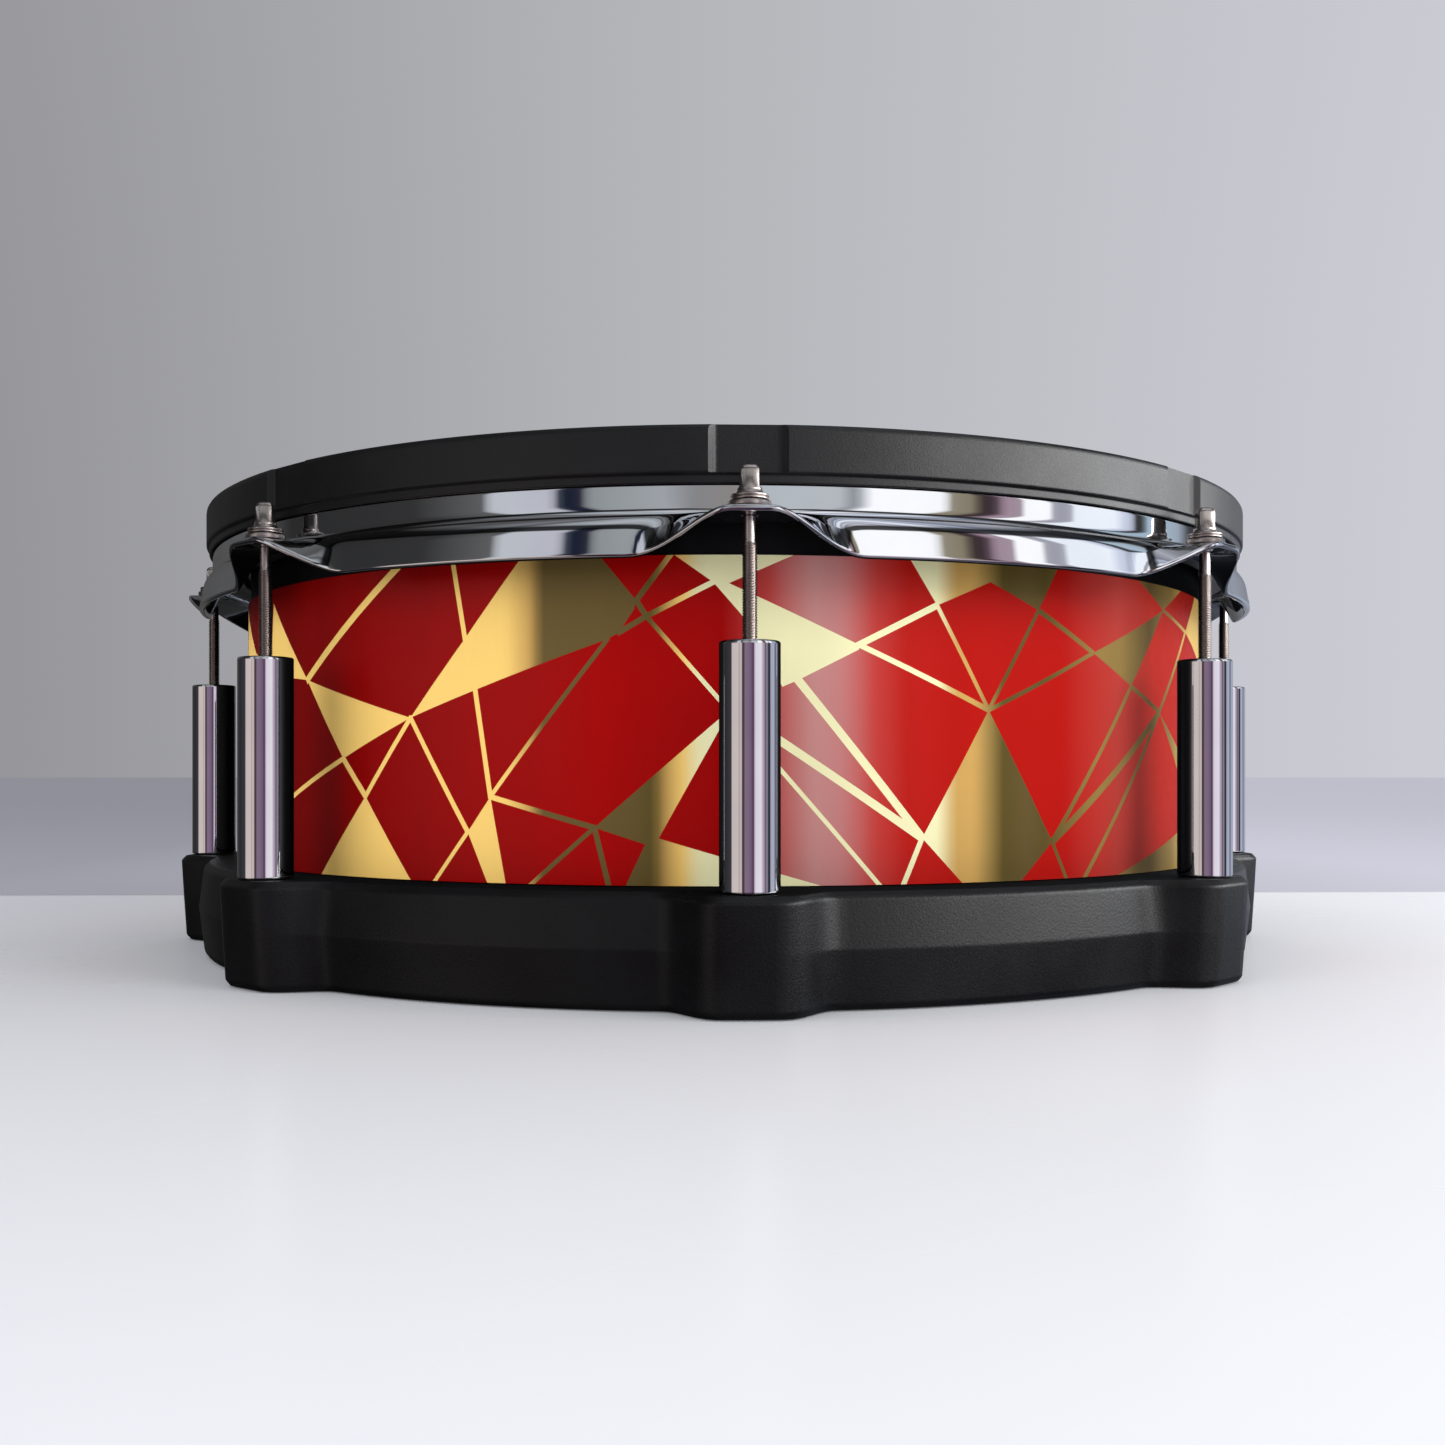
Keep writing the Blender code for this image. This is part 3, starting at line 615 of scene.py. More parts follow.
def make_base(mats):
    deck_inside = BASE_H - 0.5 * BASE_DECK_T
    lip_mid = BASE_HOLE_R + 0.5 * BASE_LIP_T
    solid = bmesh.new()
    for n in range(LUGS):
        add_cylinder(solid, BOSS_R, BOSS_BOTTOM, deck_inside, lug_xy(n), 40)
        for turn, end in ((0.0, LOBE_RIB_END), (math.pi / LUGS, WALL_RIB_END)):
            add_block(solid, (end - lip_mid, RIB_T, deck_inside - RIB_BOTTOM - 0.1),
                      (0.5 * (lip_mid + end), 0.0, 0.5 * (RIB_BOTTOM + deck_inside)), LUG_ANGLES[n] + turn)
    for x in BRIDGE_SCREWS:
        add_cylinder(solid, BRIDGE_BOSS_R, BASE_LIP_BOTTOM + 1.0, deck_inside, (x, 0.0), 32)
    add_block(solid, (LEDGE_W, lip_mid - LEDGE_FRONT_Y, BASE_DECK_T - 0.4),
              (0.0, 0.5 * (LEDGE_FRONT_Y + lip_mid), deck_inside))
    holes = bmesh.new()
    for n in range(LUGS):
        add_cylinder(holes, TUBE_PLUG_BORE_R, -1.0, BASE_H + 1.0, lug_xy(n), 32)
    for x in BRIDGE_SCREWS:
        add_cylinder(holes, BRIDGE_SCREW_HOLE_R, 0.0, BASE_H + 1.0, (x, 0.0), 24)
    add_cylinder(holes, JACK_HOLE_R, 0.0, BASE_H + 1.0, (0.0, JACK_Y), 40)
    mesh = cut(loft_ring("base", base_section, BASE_STOPS), [(solid, "UNION"), (holes, "DIFFERENCE")])
    piece("base_frame_look", mesh, [mats["plastic"]], "pad_body", ["base_frame"])


def make_shell(mats):
    inner_r = SHELL_R - SHELL_T
    outline = rounded([
        (SHELL_R - 2.0, SHELL_TOP, 0.9),
        (SHELL_R, SHELL_TOP - 1.6, 0.9),
        (SHELL_R, SHELL_BOTTOM, 0.4),
        (inner_r, SHELL_BOTTOM, 0.4),
        (inner_r, SHELL_TOP - 4.0, 1.0),
    ])
    piece("shell_look", lathe("shell", outline, 192), [mats["shell"]], "pad_body", ["shell"])


# ---- wrap

# Corners of the print's gold shapes on one half of the drum: degrees from its middle, to the
# right, and height.
CORNERS = dict(
    A=(-48.5, 90), A2=(-57, 115.5), A3=(-64, 100.5), A4=(-72, 118), A5=(-58, 93), A6=(-72, 84),
    At=(-33.7, 121.5), B=(-32.6, 77.4), C=(-42, 66), Cl=(-59, 46), D=(-38.6, 55), Da=(-46.8, 28),
    Db=(-31.7, 28), E=(-26, 45.4), Eb=(-30.6, 28), F=(-23.6, 55.2), Fa=(-21.8, 28), Fb=(-23.4, 28),
    G=(-26.3, 99), Gt=(-27.7, 121.5), G2=(-25.2, 84.7), T1=(-20.2, 121.5), T2=(-13.4, 121.5),
    H2=(-9.7, 108), H=(-8.8, 103.7), N1=(-9.9, 105.6), N2=(-10.7, 102), F1=(-12.3, 97.7),
    F2=(-11.3, 99.4), Ht=(-6.3, 121.5), Ia=(-2.9, 112.7), Ib=(-2.4, 111), I4=(-1.5, 112.4),
    I2=(-0.4, 104), Ja=(-7, 121.5), Jb=(5.3, 121.5), L=(10.1, 96.3), L2=(10.1, 95), M=(4.6, 86.6),
    Ml=(3.2, 84.8), TB=(13, 28), K=(-13.5, 47), K1=(-1.3, 79), K2=(-7.7, 44.2), K3=(-8.9, 42.6),
    K5=(-11.2, 28), Ka=(-20.8, 28), Kb=(-11.9, 28), BL=(10.6, 28), N=(17.6, 107.6), Nt=(14.6, 121.5),
    O=(28.8, 107.8), Ot=(31.5, 121.5), P=(23.2, 114.8), Q=(23, 79.2), R=(36.2, 96.8), S=(49.6, 112.4),
    Sa=(43, 121.5), Sb=(56, 121.5), U=(42.6, 87.8), V=(56.7, 107.3), Va=(62, 121.5), Vb=(70, 92),
    Vc=(76, 121.5), W=(48.6, 80.6), W2=(61, 55), W3=(60.5, 40), Wb=(34, 28), X=(30.5, 42.2), Xb=(33, 28),
    Y=(16.1, 44), Yb=(13.8, 28), Yc=(21.3, 28), Yd=(25.5, 28), Z=(36, 28), Z2=(60, 48), Z3=(66, 28),
    Qa=(80, 72), Qb=(88, 121.5), Qc=(96, 121.5), Qd=(92, 28), Qe=(121, 46), Qf=(108, 84),
)
GOLD_SHAPES = [
    "A B C", "A2 A A5", "A3 A4 A6", "D Da Db", "E F Fa Fb", "B G T1 T2 H2 N1 N2 F2 F1 G2",
    "Ja Jb I4 Ib Ia", "Ib I4 L L2 M Ml I2", "K K1 K2 BL K5 K3", "N Nt Ot O P", "R S U", "S Sa Sb",
    "V Va Vc Vb", "Q Y Yc Yd X", "W W2 W3", "Z Z2 Z3", "Qa Qb Qc",
]
# Gold lines between corners, by their width in millimetres.
GOLD_LINES = {
    1.2: "E Eb, A3 A5, H TB, F1 F, K Ka, N Q, O Q, R Q, S V, X Xb, W2 Vb",
    1.5: "C Cl, B D, B E, F G2, G Gt, H2 Ht, H2 H, H F2, H Ia, F K, K Kb, L Q, O R, V W, U W, U X, "
         "W Wb, Y Yb, Vb Qa, W3 Qa, Qa Qe, Vc Qf",
    1.8: "L N",
    1.9: "C D",
    2.3: "A At, W X, M Y, K1 Y, Qa Qd",
}
HALF_TURN = math.pi * WRAP_R
WRAP_COLUMN = 2.5            # degrees between the wrap's vertical edges


def unrolled(corner):
    degrees, z = CORNERS[corner]
    return Vector((math.radians(degrees) * WRAP_R, z))


def line_corners(ends, width):
    a, b = (unrolled(name) for name in ends.split())
    along = (b - a).normalized()
    side = Vector((-along.y, along.x)) * 0.5 * width
    a = a - along * 0.3 * width
    b = b + along * 0.3 * width
    return [a - side, b - side, b + side, a + side]


def anticlockwise(corners):
    area = sum(a.cross(b) for a, b in zip(corners, corners[1:] + corners[:1]))
    return corners if area > 0.0 else corners[::-1]


def wrap_mesh():
    """The print's shapes cut into the flat sheet, which is then rolled into the drum's wrap."""
    shapes = [[unrolled(name) for name in shape.split()] for shape in GOLD_SHAPES]
    for width, lines in GOLD_LINES.items():
        shapes += [line_corners(ends, width) for ends in lines.split(", ")]
    sheet = [Vector((-HALF_TURN, SHELL_BOTTOM)), Vector((HALF_TURN, SHELL_BOTTOM)),
             Vector((HALF_TURN, WRAP_TOP)), Vector((-HALF_TURN, WRAP_TOP))]
    outlines = [sheet]
    for turn in (-HALF_TURN, 0.0, HALF_TURN):
        for shape in shapes:
            outlines.append(anticlockwise([corner + Vector((turn, 0.0)) for corner in shape]))
    points, faces, edges = [], [], []
    for outline in outlines:
        faces.append(list(range(len(points), len(points) + len(outline))))
        points += outline
    columns = round(360.0 / WRAP_COLUMN)
    for n in range(1, columns):
        x = HALF_TURN * (2.0 * n / columns - 1.0)
        edges.append((len(points), len(points) + 1))
        points += [Vector((x, SHELL_BOTTOM)), Vector((x, WRAP_TOP))]
    flat, _, triangles, _, _, sources = delaunay_2d_cdt(points, edges, faces, 0, 0.001, True)

    bm = bmesh.new()
    verts = []
    for x, z in flat:
        angle = x / WRAP_R
        verts.append(bm.verts.new((WRAP_R * math.sin(angle) * MM, -WRAP_R * math.cos(angle) * MM, z * MM)))
    for triangle, source in zip(triangles, sources):
        if 0 in source:
            bm.faces.new([verts[n] for n in triangle]).material_index = 1 if len(source) > 1 else 0
    bmesh.ops.delete(bm, geom=[v for v in bm.verts if not v.link_faces], context="VERTS")
    bmesh.ops.remove_doubles(bm, verts=bm.verts, dist=0.00002)
    made = bpy.data.meshes.new("wrap")
    bm.to_mesh(made)
    bm.free()
    return made


def make_wrap(mats):
    obj = link("wrap_sheet", wrap_mesh(), [mats["red"], mats["gold"]])
    thick = obj.modifiers.new("thickness", "SOLIDIFY")
    thick.thickness = WRAP_T * MM
    thick.offset = -1.0
    wrap = piece("shell_wrap_print", smoothed(applied(obj)), [mats["red"], mats["gold"]], "pad_body",
                 ["shell_wrap"])
    wrap.visible_glossy = False


# ---- head and hoop

def make_head(mats):
    outer = rounded([
        (0.0, HEAD_TOP),
        (120.0, HEAD_TOP),
        (HEAD_R - 2.0, HEAD_TOP),
        (HEAD_COLLAR_R - 0.4, HEAD_TOP - 0.7, 2.0),
        (HEAD_COLLAR_R, 134.4, 1.0),
        (HEAD_COLLAR_R + 1.4, HEAD_COLLAR_BOTTOM),
    ], closed=False, steps=5)
    inner = [(max(r - HEAD_T, 0.0), z - (HEAD_T if r < HEAD_R else 0.25)) for r, z in reversed(outer)]
    obj = link("head_membrane", lathe("head_membrane", outer + inner, 192, closed=False), [mats["mesh"]])
    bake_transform(obj)
    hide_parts("mesh_head")
    flesh = lathe("flesh_hoop", ring_outline(FLESH_R_IN, FLESH_R_OUT, FLESH_BOTTOM, FLESH_TOP, 1.6), 192)
    piece("flesh_hoop_look", flesh, [mats["steel"]], "hoop_assembly", ["head_flesh_hoop"])


def hoop_section(s):
    ear = rise(s, EAR_FLAT, EAR_HALF, EAR_EASE)
    mid_r = mix(SKIRT_MID[0], EAR_ROOT_R, ear)
    mid_z = mix(SKIRT_MID[1], EAR_Z, ear)
    tip_r = mix(SKIRT_TIP[0], EAR_TIP_R, ear)
    tip_z = mix(SKIRT_TIP[1], EAR_Z, ear)
    slope = math.atan2(mid_z - tip_z, tip_r - mid_r)
    back_r = HOOP_T * math.sin(slope)
    back_z = HOOP_T * math.cos(slope)
    return [
        (HOOP_UPPER_R - HOOP_T, HOOP_TOP, 0.6),
        (HOOP_UPPER_R, HOOP_TOP, 0.6),
        (HOOP_UPPER_R, HOOP_STEP_TOP, 1.2),
        (HOOP_NECK_R, HOOP_STEP_BOTTOM, 1.4),
        (HOOP_NECK_R, HOOP_NECK_BOTTOM, 1.4),
        (mid_r, mid_z, 3.0),
        (tip_r, tip_z, 0.86),
        (tip_r - back_r, tip_z - back_z, 0.86),
        (HOOP_NECK_R - HOOP_T, EAR_Z - HOOP_T, 1.6),
        (HOOP_NECK_R - HOOP_T, HOOP_STEP_BOTTOM - 1.0, 1.0),
        (HOOP_UPPER_R - HOOP_T, HOOP_STEP_TOP - 1.4, 1.0),
    ]


def make_hoop(mats):
    holes = bmesh.new()
    for n in range(LUGS):
        add_cylinder(holes, ROD_HOLE_R, EAR_Z - 5.0, EAR_Z + 5.0, lug_xy(n), 32)
    mesh = cut(loft_ring("hoop", hoop_section, HOOP_STOPS), [(holes, "DIFFERENCE")])
    piece("hoop_look", mesh, [mats["chrome"]], "hoop_assembly", ["hoop"])


def recess_cutter(angle):
    """A recess's hollow: a flat floor with sloped ends, seen from above as a trapezoid."""
    bm = bmesh.new()
    depth = COVER_R - RECESS_FLOOR_R
    slope = 0.5 * (RECESS_MOUTH_W - RECESS_FLOOR_W) / depth
    far = depth + 3.0
    outline = [(0.0, -0.5 * RECESS_FLOOR_W), (0.0, 0.5 * RECESS_FLOOR_W),
               (far, 0.5 * RECESS_FLOOR_W + slope * far), (far, -0.5 * RECESS_FLOOR_W - slope * far)]
    outline = rounded([(x, y, 0.5) if x == 0.0 else (x, y) for x, y in outline])
    rows = [[bm.verts.new(((RECESS_FLOOR_R + x) * MM, y * MM, z * MM)) for x, y in outline]
            for z in (COVER_FACE_BOTTOM, COVER_TOP + 1.0)]
    bridge_rows(bm, rows[0], rows[1])
    bm.faces.new(rows[0][::-1])
    bm.faces.new(rows[1])
    bmesh.ops.rotate(bm, verts=bm.verts, cent=(0.0, 0.0, 0.0), matrix=Matrix.Rotation(angle, 3, "Z"))
    return bm


def make_cover(mats):
    outline = rounded([
        (COVER_INNER_R, COVER_TOP, 1.1),
        (COVER_R, COVER_TOP, 1.9),
        (COVER_R, COVER_FACE_BOTTOM, 0.5),
        (COVER_LIP_R, COVER_FACE_BOTTOM - 0.5, 0.3),
        (COVER_LIP_R, COVER_LIP_BOTTOM, 0.4),
        (HOOP_NECK_R + GAP, COVER_LIP_BOTTOM, 0.2),
        (HOOP_NECK_R + GAP, HOOP_STEP_BOTTOM + GAP),
        (HOOP_UPPER_R + GAP, HOOP_STEP_TOP + GAP),
        (HOOP_UPPER_R + GAP, HOOP_TOP + GAP),
        (HOOP_UPPER_R - HOOP_T - GAP, HOOP_TOP + GAP),
        (HOOP_UPPER_R - HOOP_T - GAP, COVER_INNER_BOTTOM, 0.3),
        (COVER_INNER_R, COVER_INNER_BOTTOM, 0.8),
    ], steps=4)
    mesh = cut(lathe("cover", outline, 224), [(recess_cutter(angle), "DIFFERENCE") for angle in LUG_ANGLES])
    piece("hoop_cover_look", mesh, [mats["rubber"]], "hoop_assembly", ["hoop_cover"])


# ---- lugs and rods

def square_radius(angle, half, power):
    """Distance to the edge of a rounded square; a higher power gives sharper corners."""
    total = abs(math.cos(angle)) ** power + abs(math.sin(angle)) ** power
    return half / total ** (1.0 / power)


def rod_mesh():
    """One tension rod about its own axis, with its thread cut as a real helix."""
    steps = 24
    flange_top = FLANGE_BOTTOM + FLANGE_T
    head_bottom = flange_top + CONE_H
    key_top = head_bottom + KEY_H
    half = 0.5 * KEY_SIDE
    bm = bmesh.new()
    rows = [circle_row(bm, 0.0, key_top, steps)]
    for inset, drop in ((1.7, 0.02), (1.05, 0.15), (0.5, 0.5), (0.14, 1.05), (0.0, 1.8), (0.0, KEY_H - 0.6)):
        rows.append(ring_row(bm, lambda a, i=inset: square_radius(a, half - i, 7.0), key_top - drop, steps))
    collar = rounded([
        (half + 0.75, head_bottom),
        (0.66 * FLANGE_R, flange_top + 0.7, 0.5),
        (0.8 * FLANGE_R, flange_top, 0.3),
        (FLANGE_R, flange_top, 0.3),
        (FLANGE_R, flange_top - 0.55, 0.2),
        (FLANGE_R - 0.3, flange_top - 0.7, 0.2),
        (FLANGE_R, flange_top - 0.85, 0.2),
        (FLANGE_R, FLANGE_BOTTOM, 0.3),
        (ROD_SHANK_R, FLANGE_BOTTOM, 0.3),
        (ROD_SHANK_R, THREAD_TOP + 0.6),
    ], closed=False, steps=2)
    rows += [circle_row(bm, r, z, steps) for r, z in collar]

    def thread_radius(z):
        fade = min((THREAD_TOP - z) / (2.0 * ROD_PITCH), 1.0)

        def at(angle):
            turn = (z / ROD_PITCH - angle / (2.0 * math.pi)) % 1.0
            tooth = min(max(2.6 * abs(turn - 0.5) - 0.15, 0.0), 1.0)
            crest = mix(ROD_SHANK_R, ROD_R, fade)
            return mix(crest, min(ROD_ROOT_R, crest), tooth)
        return at

    count = round((THREAD_TOP - THREAD_BOTTOM) / ROD_PITCH * 7)
    for n in range(count + 1):
        z = mix(THREAD_TOP, THREAD_BOTTOM, n / count)
        rows.append(ring_row(bm, thread_radius(z), z, steps))
    for r, z in ((ROD_R - 0.1, THREAD_BOTTOM - 0.5), (ROD_R - 0.1, ROD_BOTTOM + 0.7),
                 (ROD_R - 0.7, ROD_BOTTOM), (0.0, ROD_BOTTOM)):
        rows.append(circle_row(bm, r, z, steps))
    for row, after in zip(rows, rows[1:]):
        bridge_rows(bm, row, after)
    return mesh_from("rod", bm, 50.0)


def screw_mesh(name, head_r, head_h, seat, shank_r, end, up):
    """A domed screw with a cross recess. up is 1 for a head above its seat and -1 for one below."""
    outline = rounded([
        (0.0, seat + up * head_h),
        (0.62 * head_r, seat + up * head_h, 0.5 * head_r),
        (head_r, seat + up * 0.3 * head_h, 0.25 * head_h),
        (head_r, seat, 0.1),
        (shank_r, seat),
        (shank_r, end, 0.4),
        (0.0, end),
    ], closed=False)
    cross = bmesh.new()
    top = seat + up * head_h
    for size in ((1.1 * head_r, 0.26 * head_r), (0.26 * head_r, 1.1 * head_r)):
        add_block(cross, (*size, 1.2 * head_h), (0.0, 0.0, top))
    return cut(lathe(name, outline, 32, closed=False), [(cross, "DIFFERENCE")])


def make_lugs(mats):
    tube = lathe("tube", rounded([
        (TUBE_BORE_R, TUBE_TOP, 0.35),
        (TUBE_R, TUBE_TOP, 0.7),
        (TUBE_R, SHELL_BOTTOM, 0.35),
        (TUBE_PLUG_BORE_R, SHELL_BOTTOM, 0.2),
        (TUBE_PLUG_BORE_R, TUBE_PLUG_TOP, 0.2),
        (TUBE_BORE_R, TUBE_PLUG_TOP),
    ], steps=4), 72)
    insert_bottom = INSERT_TOP - INSERT_L
    insert = lathe("insert", ring_outline(INSERT_BORE_R, INSERT_R, insert_bottom, INSERT_TOP, 0.35), 40)
    washer_top = WASHER_BOTTOM + WASHER_T
    washer = lathe("washer", ring_outline(ROD_HOLE_R, WASHER_R, WASHER_BOTTOM, washer_top, 0.4), 48)
    screw = screw_mesh("lug_screw", LUG_SCREW_HEAD_R, LUG_SCREW_HEAD_H, BOSS_BOTTOM - GAP,
                       LUG_SCREW_R, LUG_SCREW_TOP, -1)
    rod = rod_mesh()
    for n in range(LUGS):
        number = n + 1
        at = (*lug_xy(n), 0.0)
        for cad, mesh, mat, body, slot in (
                ("lug_tube", tube, "chrome", "pad_body", "chrome"),
                ("rod_insert", insert, "brass", "pad_body", "brass"),
                ("lug_screw", screw, "steel", "pad_body", "steel"),
                ("rod_washer", washer, "rod", "hoop_assembly", "rod_steel"),
                ("tension_rod", rod, "rod", f"rod_{number}", "rod_steel")):
            piece(f"{cad}_look_{number}", mesh, [mats[mat]], body, [f"{cad}_{number}"], at)


# ---- sensors and jack

def make_bridge(mats):
    bottom = SHELL_BOTTOM
    low = [(BRIDGE_FOOT_X, bottom), (BRIDGE_BEND_X, bottom, 5.0),
           (BRIDGE_SHOULDER_X, BRIDGE_TOP - BRIDGE_T, 8.0)]
    path = rounded([(-p[0], *p[1:]) for p in low] + low[::-1], closed=False, steps=5)
    bm = bmesh.new()
    half = 0.5 * BRIDGE_W * MM
    rows = [[bm.verts.new((x * MM, y, z * MM)) for x, z in path] for y in (-half, half)]
    for n in range(len(path) - 1):
        bm.faces.new((rows[0][n], rows[0][n + 1], rows[1][n + 1], rows[1][n]))
    obj = link("bridge_sheet", mesh_from("bridge", bm), [])
    thick = obj.modifiers.new("thickness", "SOLIDIFY")
    thick.thickness = BRIDGE_T * MM
    thick.offset = 1.0
    thick.use_even_offset = True
    edge = obj.modifiers.new("edge", "BEVEL")
    edge.width = 0.5 * MM
    edge.segments = 2
    edge.angle_limit = math.radians(50.0)
    holes = bmesh.new()
    for x in BRIDGE_SCREWS:
        add_cylinder(holes, BRIDGE_SCREW_HOLE_R, BASE_H - 2.0, bottom + 8.0, (x, 0.0), 24)
    mesh = cut(applied(obj), [(holes, "DIFFERENCE")])
    piece("sensor_bridge_look", mesh, [mats["steel"]], "pad_body", ["sensor_bridge"])
    screw = screw_mesh("bridge_screw", BRIDGE_SCREW_HEAD_R, BRIDGE_SCREW_HEAD_H, bottom + BRIDGE_T + GAP,
                       BRIDGE_SCREW_R, BRIDGE_SCREW_BOTTOM, 1)
    for number, x in enumerate(BRIDGE_SCREWS, 1):
        piece(f"bridge_screw_look_{number}", screw, [mats["steel"]], "pad_body", [f"bridge_screw_{number}"],
              (x, 0.0, 0.0))


def make_sensors(mats):
    cushion_bottom = BRIDGE_TOP + GAP
    cushion_top = cushion_bottom + CUSHION_T
    cushion_edge = CUSHION_R - 0.6
    cushion = lathe("cushion", rounded([
        (0.0, cushion_top),
        (cushion_edge, cushion_top, 0.5),
        (CUSHION_R, 0.5 * (cushion_top + cushion_bottom), 0.8),
        (cushion_edge, cushion_bottom, 0.5),
        (0.0, cushion_bottom),
    ], closed=False), 64, closed=False)
    cone = lathe("cone", rounded([
        (0.0, SHELL_TOP),
        (8.0, SHELL_TOP, 0.8),
        (8.6, 134.0, 6.0),
        (12.2, 110.0, 12.0),
        (16.0, 95.5, 1.2),
        (0.0, 95.5),
    ], closed=False, steps=6), 64, closed=False)
    for cad, mesh in (("sensor_cushion", cushion), ("sensor_cone", cone)):
        made = piece(cad + "_foam", mesh, [mats["foam"]], "pad_body", [cad])
    for cad, r, bottom, top, x in (("head_piezo", 17.5, 94.6, 95.2, 0.0),
                                   ("rim_piezo", 13.5, 91.3, 92.3, RIM_PIEZO_X)):
        plate = mix(bottom, top, 0.6)
        outline = [(0.0, top), (0.7 * r, top), (0.72 * r, plate), (r - 0.1, plate), (r, plate - 0.1),
                   (r, bottom + 0.1), (r - 0.1, bottom), (0.0, bottom)]
        disc = lathe(cad, outline, 64, closed=False, tint=lambda n: 1 if n < 2 else 0)
        piece(cad + "_disc", disc, [mats["brass"], mats["ceramic"]], "pad_body", [cad],
              (x, 0.0, 0.0))


def make_jack(mats):
    body = bmesh.new()
    add_block(body, JACK_BODY, (0.0, JACK_Y, SHELL_BOTTOM + 0.5 * JACK_BODY[2]))
    bmesh.ops.bevel(body, geom=body.edges[:], offset=0.8 * MM, segments=3, affect="EDGES")
    sleeve = bmesh.new()
    add_cylinder(sleeve, JACK_SLEEVE_R, JACK_SLEEVE_BOTTOM, SHELL_BOTTOM + 1.0, (0.0, JACK_Y), 48)
    bore = bmesh.new()
    add_cylinder(bore, JACK_BORE_R, 0.0, JACK_BORE_TOP, (0.0, JACK_Y), 48)
    mesh = cut(mesh_from("jack", body), [(sleeve, "UNION"), (bore, "DIFFERENCE")])
    piece("output_jack_look", mesh, [mats["shell"]], "pad_body", ["output_jack"])
    nut_top = BASE_H - BASE_DECK_T - GAP
    nut = bmesh.new()
    add_cylinder(nut, JACK_NUT_R, nut_top - JACK_NUT_T, nut_top, (0.0, 0.0), 6)
    bmesh.ops.bevel(nut, geom=nut.edges[:], offset=0.3 * MM, segments=2, affect="EDGES")
    hole = bmesh.new()
    add_cylinder(hole, JACK_NUT_BORE_R, 0.0, BASE_H, (0.0, 0.0), 48)
    mesh = cut(mesh_from("jack_nut", nut), [(hole, "DIFFERENCE")])
    piece("jack_nut_look", mesh, [mats["steel"]], "pad_body", ["jack_nut"], (0.0, JACK_Y, 0.0))


def smooth_path(points, per_span):
    """Points along a Catmull-Rom curve through the route's own points."""
    ends = [points[0] * 2.0 - points[1]] + points + [points[-1] * 2.0 - points[-2]]
    path = []
    for p0, p1, p2, p3 in zip(ends, ends[1:], ends[2:], ends[3:]):
        for n in range(per_span):
            t = n / per_span
            path.append(0.5 * (2.0 * p1 + (p2 - p0) * t + (2.0 * p0 - 5.0 * p1 + 4.0 * p2 - p3) * t ** 2
                               + (3.0 * p1 - 3.0 * p2 + p3 - p0) * t ** 3))
    return path + [points[-1]]


def make_lead(name, cad, route, mats):
    path = smooth_path([Vector(p) for p in route], 8)
    curve = bpy.data.curves.new(name, "CURVE")
    curve.dimensions = "3D"
    curve.bevel_depth = 0.5 * LEAD_D * MM
    curve.bevel_resolution = 5
    curve.resolution_u = 1
    curve.use_fill_caps = True
    spline = curve.splines.new("POLY")
    spline.points.add(len(path) - 1)
    for point, place in zip(spline.points, path):
        point.co = (*(place * MM), 1.0)
    mesh = smoothed(applied(link(name, curve, [])), 50.0)
    piece(name, mesh, [mats["lead"]], "pad_body", [cad])


def make_leads(mats):
    side = 3.0
    jack_top = SHELL_BOTTOM + JACK_BODY[2]
    down = [(48.0, 82.0), (80.0, 71.0), (112.0, 64.0), (132.0, 66.0), (JACK_Y, 62.0),
            (JACK_Y, jack_top + GAP)]
    make_lead("head_lead", "head_sensor_lead",
              [(-side, 19.3, 94.9), (-side, 28.0, 90.0)] + [(-side, y, z) for y, z in down], mats)
    make_lead("rim_lead", "rim_sensor_lead",
              [(46.0, 10.5, 93.0), (38.0, 17.5, 92.6), (20.0, 24.0, 90.5), (7.0, 32.0, 87.0)]
              + [(side, y, z) for y, z in down], mats)


# ---- camera, light and floor

def make_camera():
    data = bpy.data.cameras.new("camera")
    data.lens = 37.02
    data.sensor_width = 36.0
    data.shift_x = -0.0015
    data.shift_y = 0.0358
    camera = bpy.data.objects.new("camera", data)
    camera.location = (-0.01878, -0.57057, 0.0614)
    camera.rotation_euler = (math.radians(90.0), 0.0, math.radians(-1.885))
    bpy.context.scene.collection.objects.link(camera)
    bpy.context.scene.camera = camera


# What polished pieces reflect, by direction round the drum: degrees from the front, to the
# right, then the light's tone in percent, as a grey or as red, green and blue. One band is
# near the horizon, one a little above it, and one is the studio's ceiling.
HORIZON_LIGHT = [
    (-180, 10), (-110, 3), (-76, 5, 5, 6), (-72, 72, 62, 58), (-46, 74, 64, 60), (-43, 45, 38, 36),
    (-40, 70, 60, 56), (-33, 68, 58, 55), (-31, 10, 5, 6), (-24, 10, 5, 7), (-21, 26, 19, 27),
    (-6, 24, 17, 25), (6, 18, 10, 19), (8, 10, 5, 10), (12, 12, 7, 12), (15, 64, 57, 64),
    (20, 90, 82, 90), (40, 95, 90, 97), (46, 60, 50, 60), (54, 40, 30, 38), (57, 8, 5, 7),
    (60, 30, 26, 32), (67, 26, 24, 30), (70, 3, 3, 5), (78, 4, 4, 6), (82, 48, 50, 60),
    (100, 50, 52, 62), (104, 15, 15, 20), (110, 15, 15, 20), (114, 42, 48, 60), (140, 40, 45, 55),
    (180, 10),
]
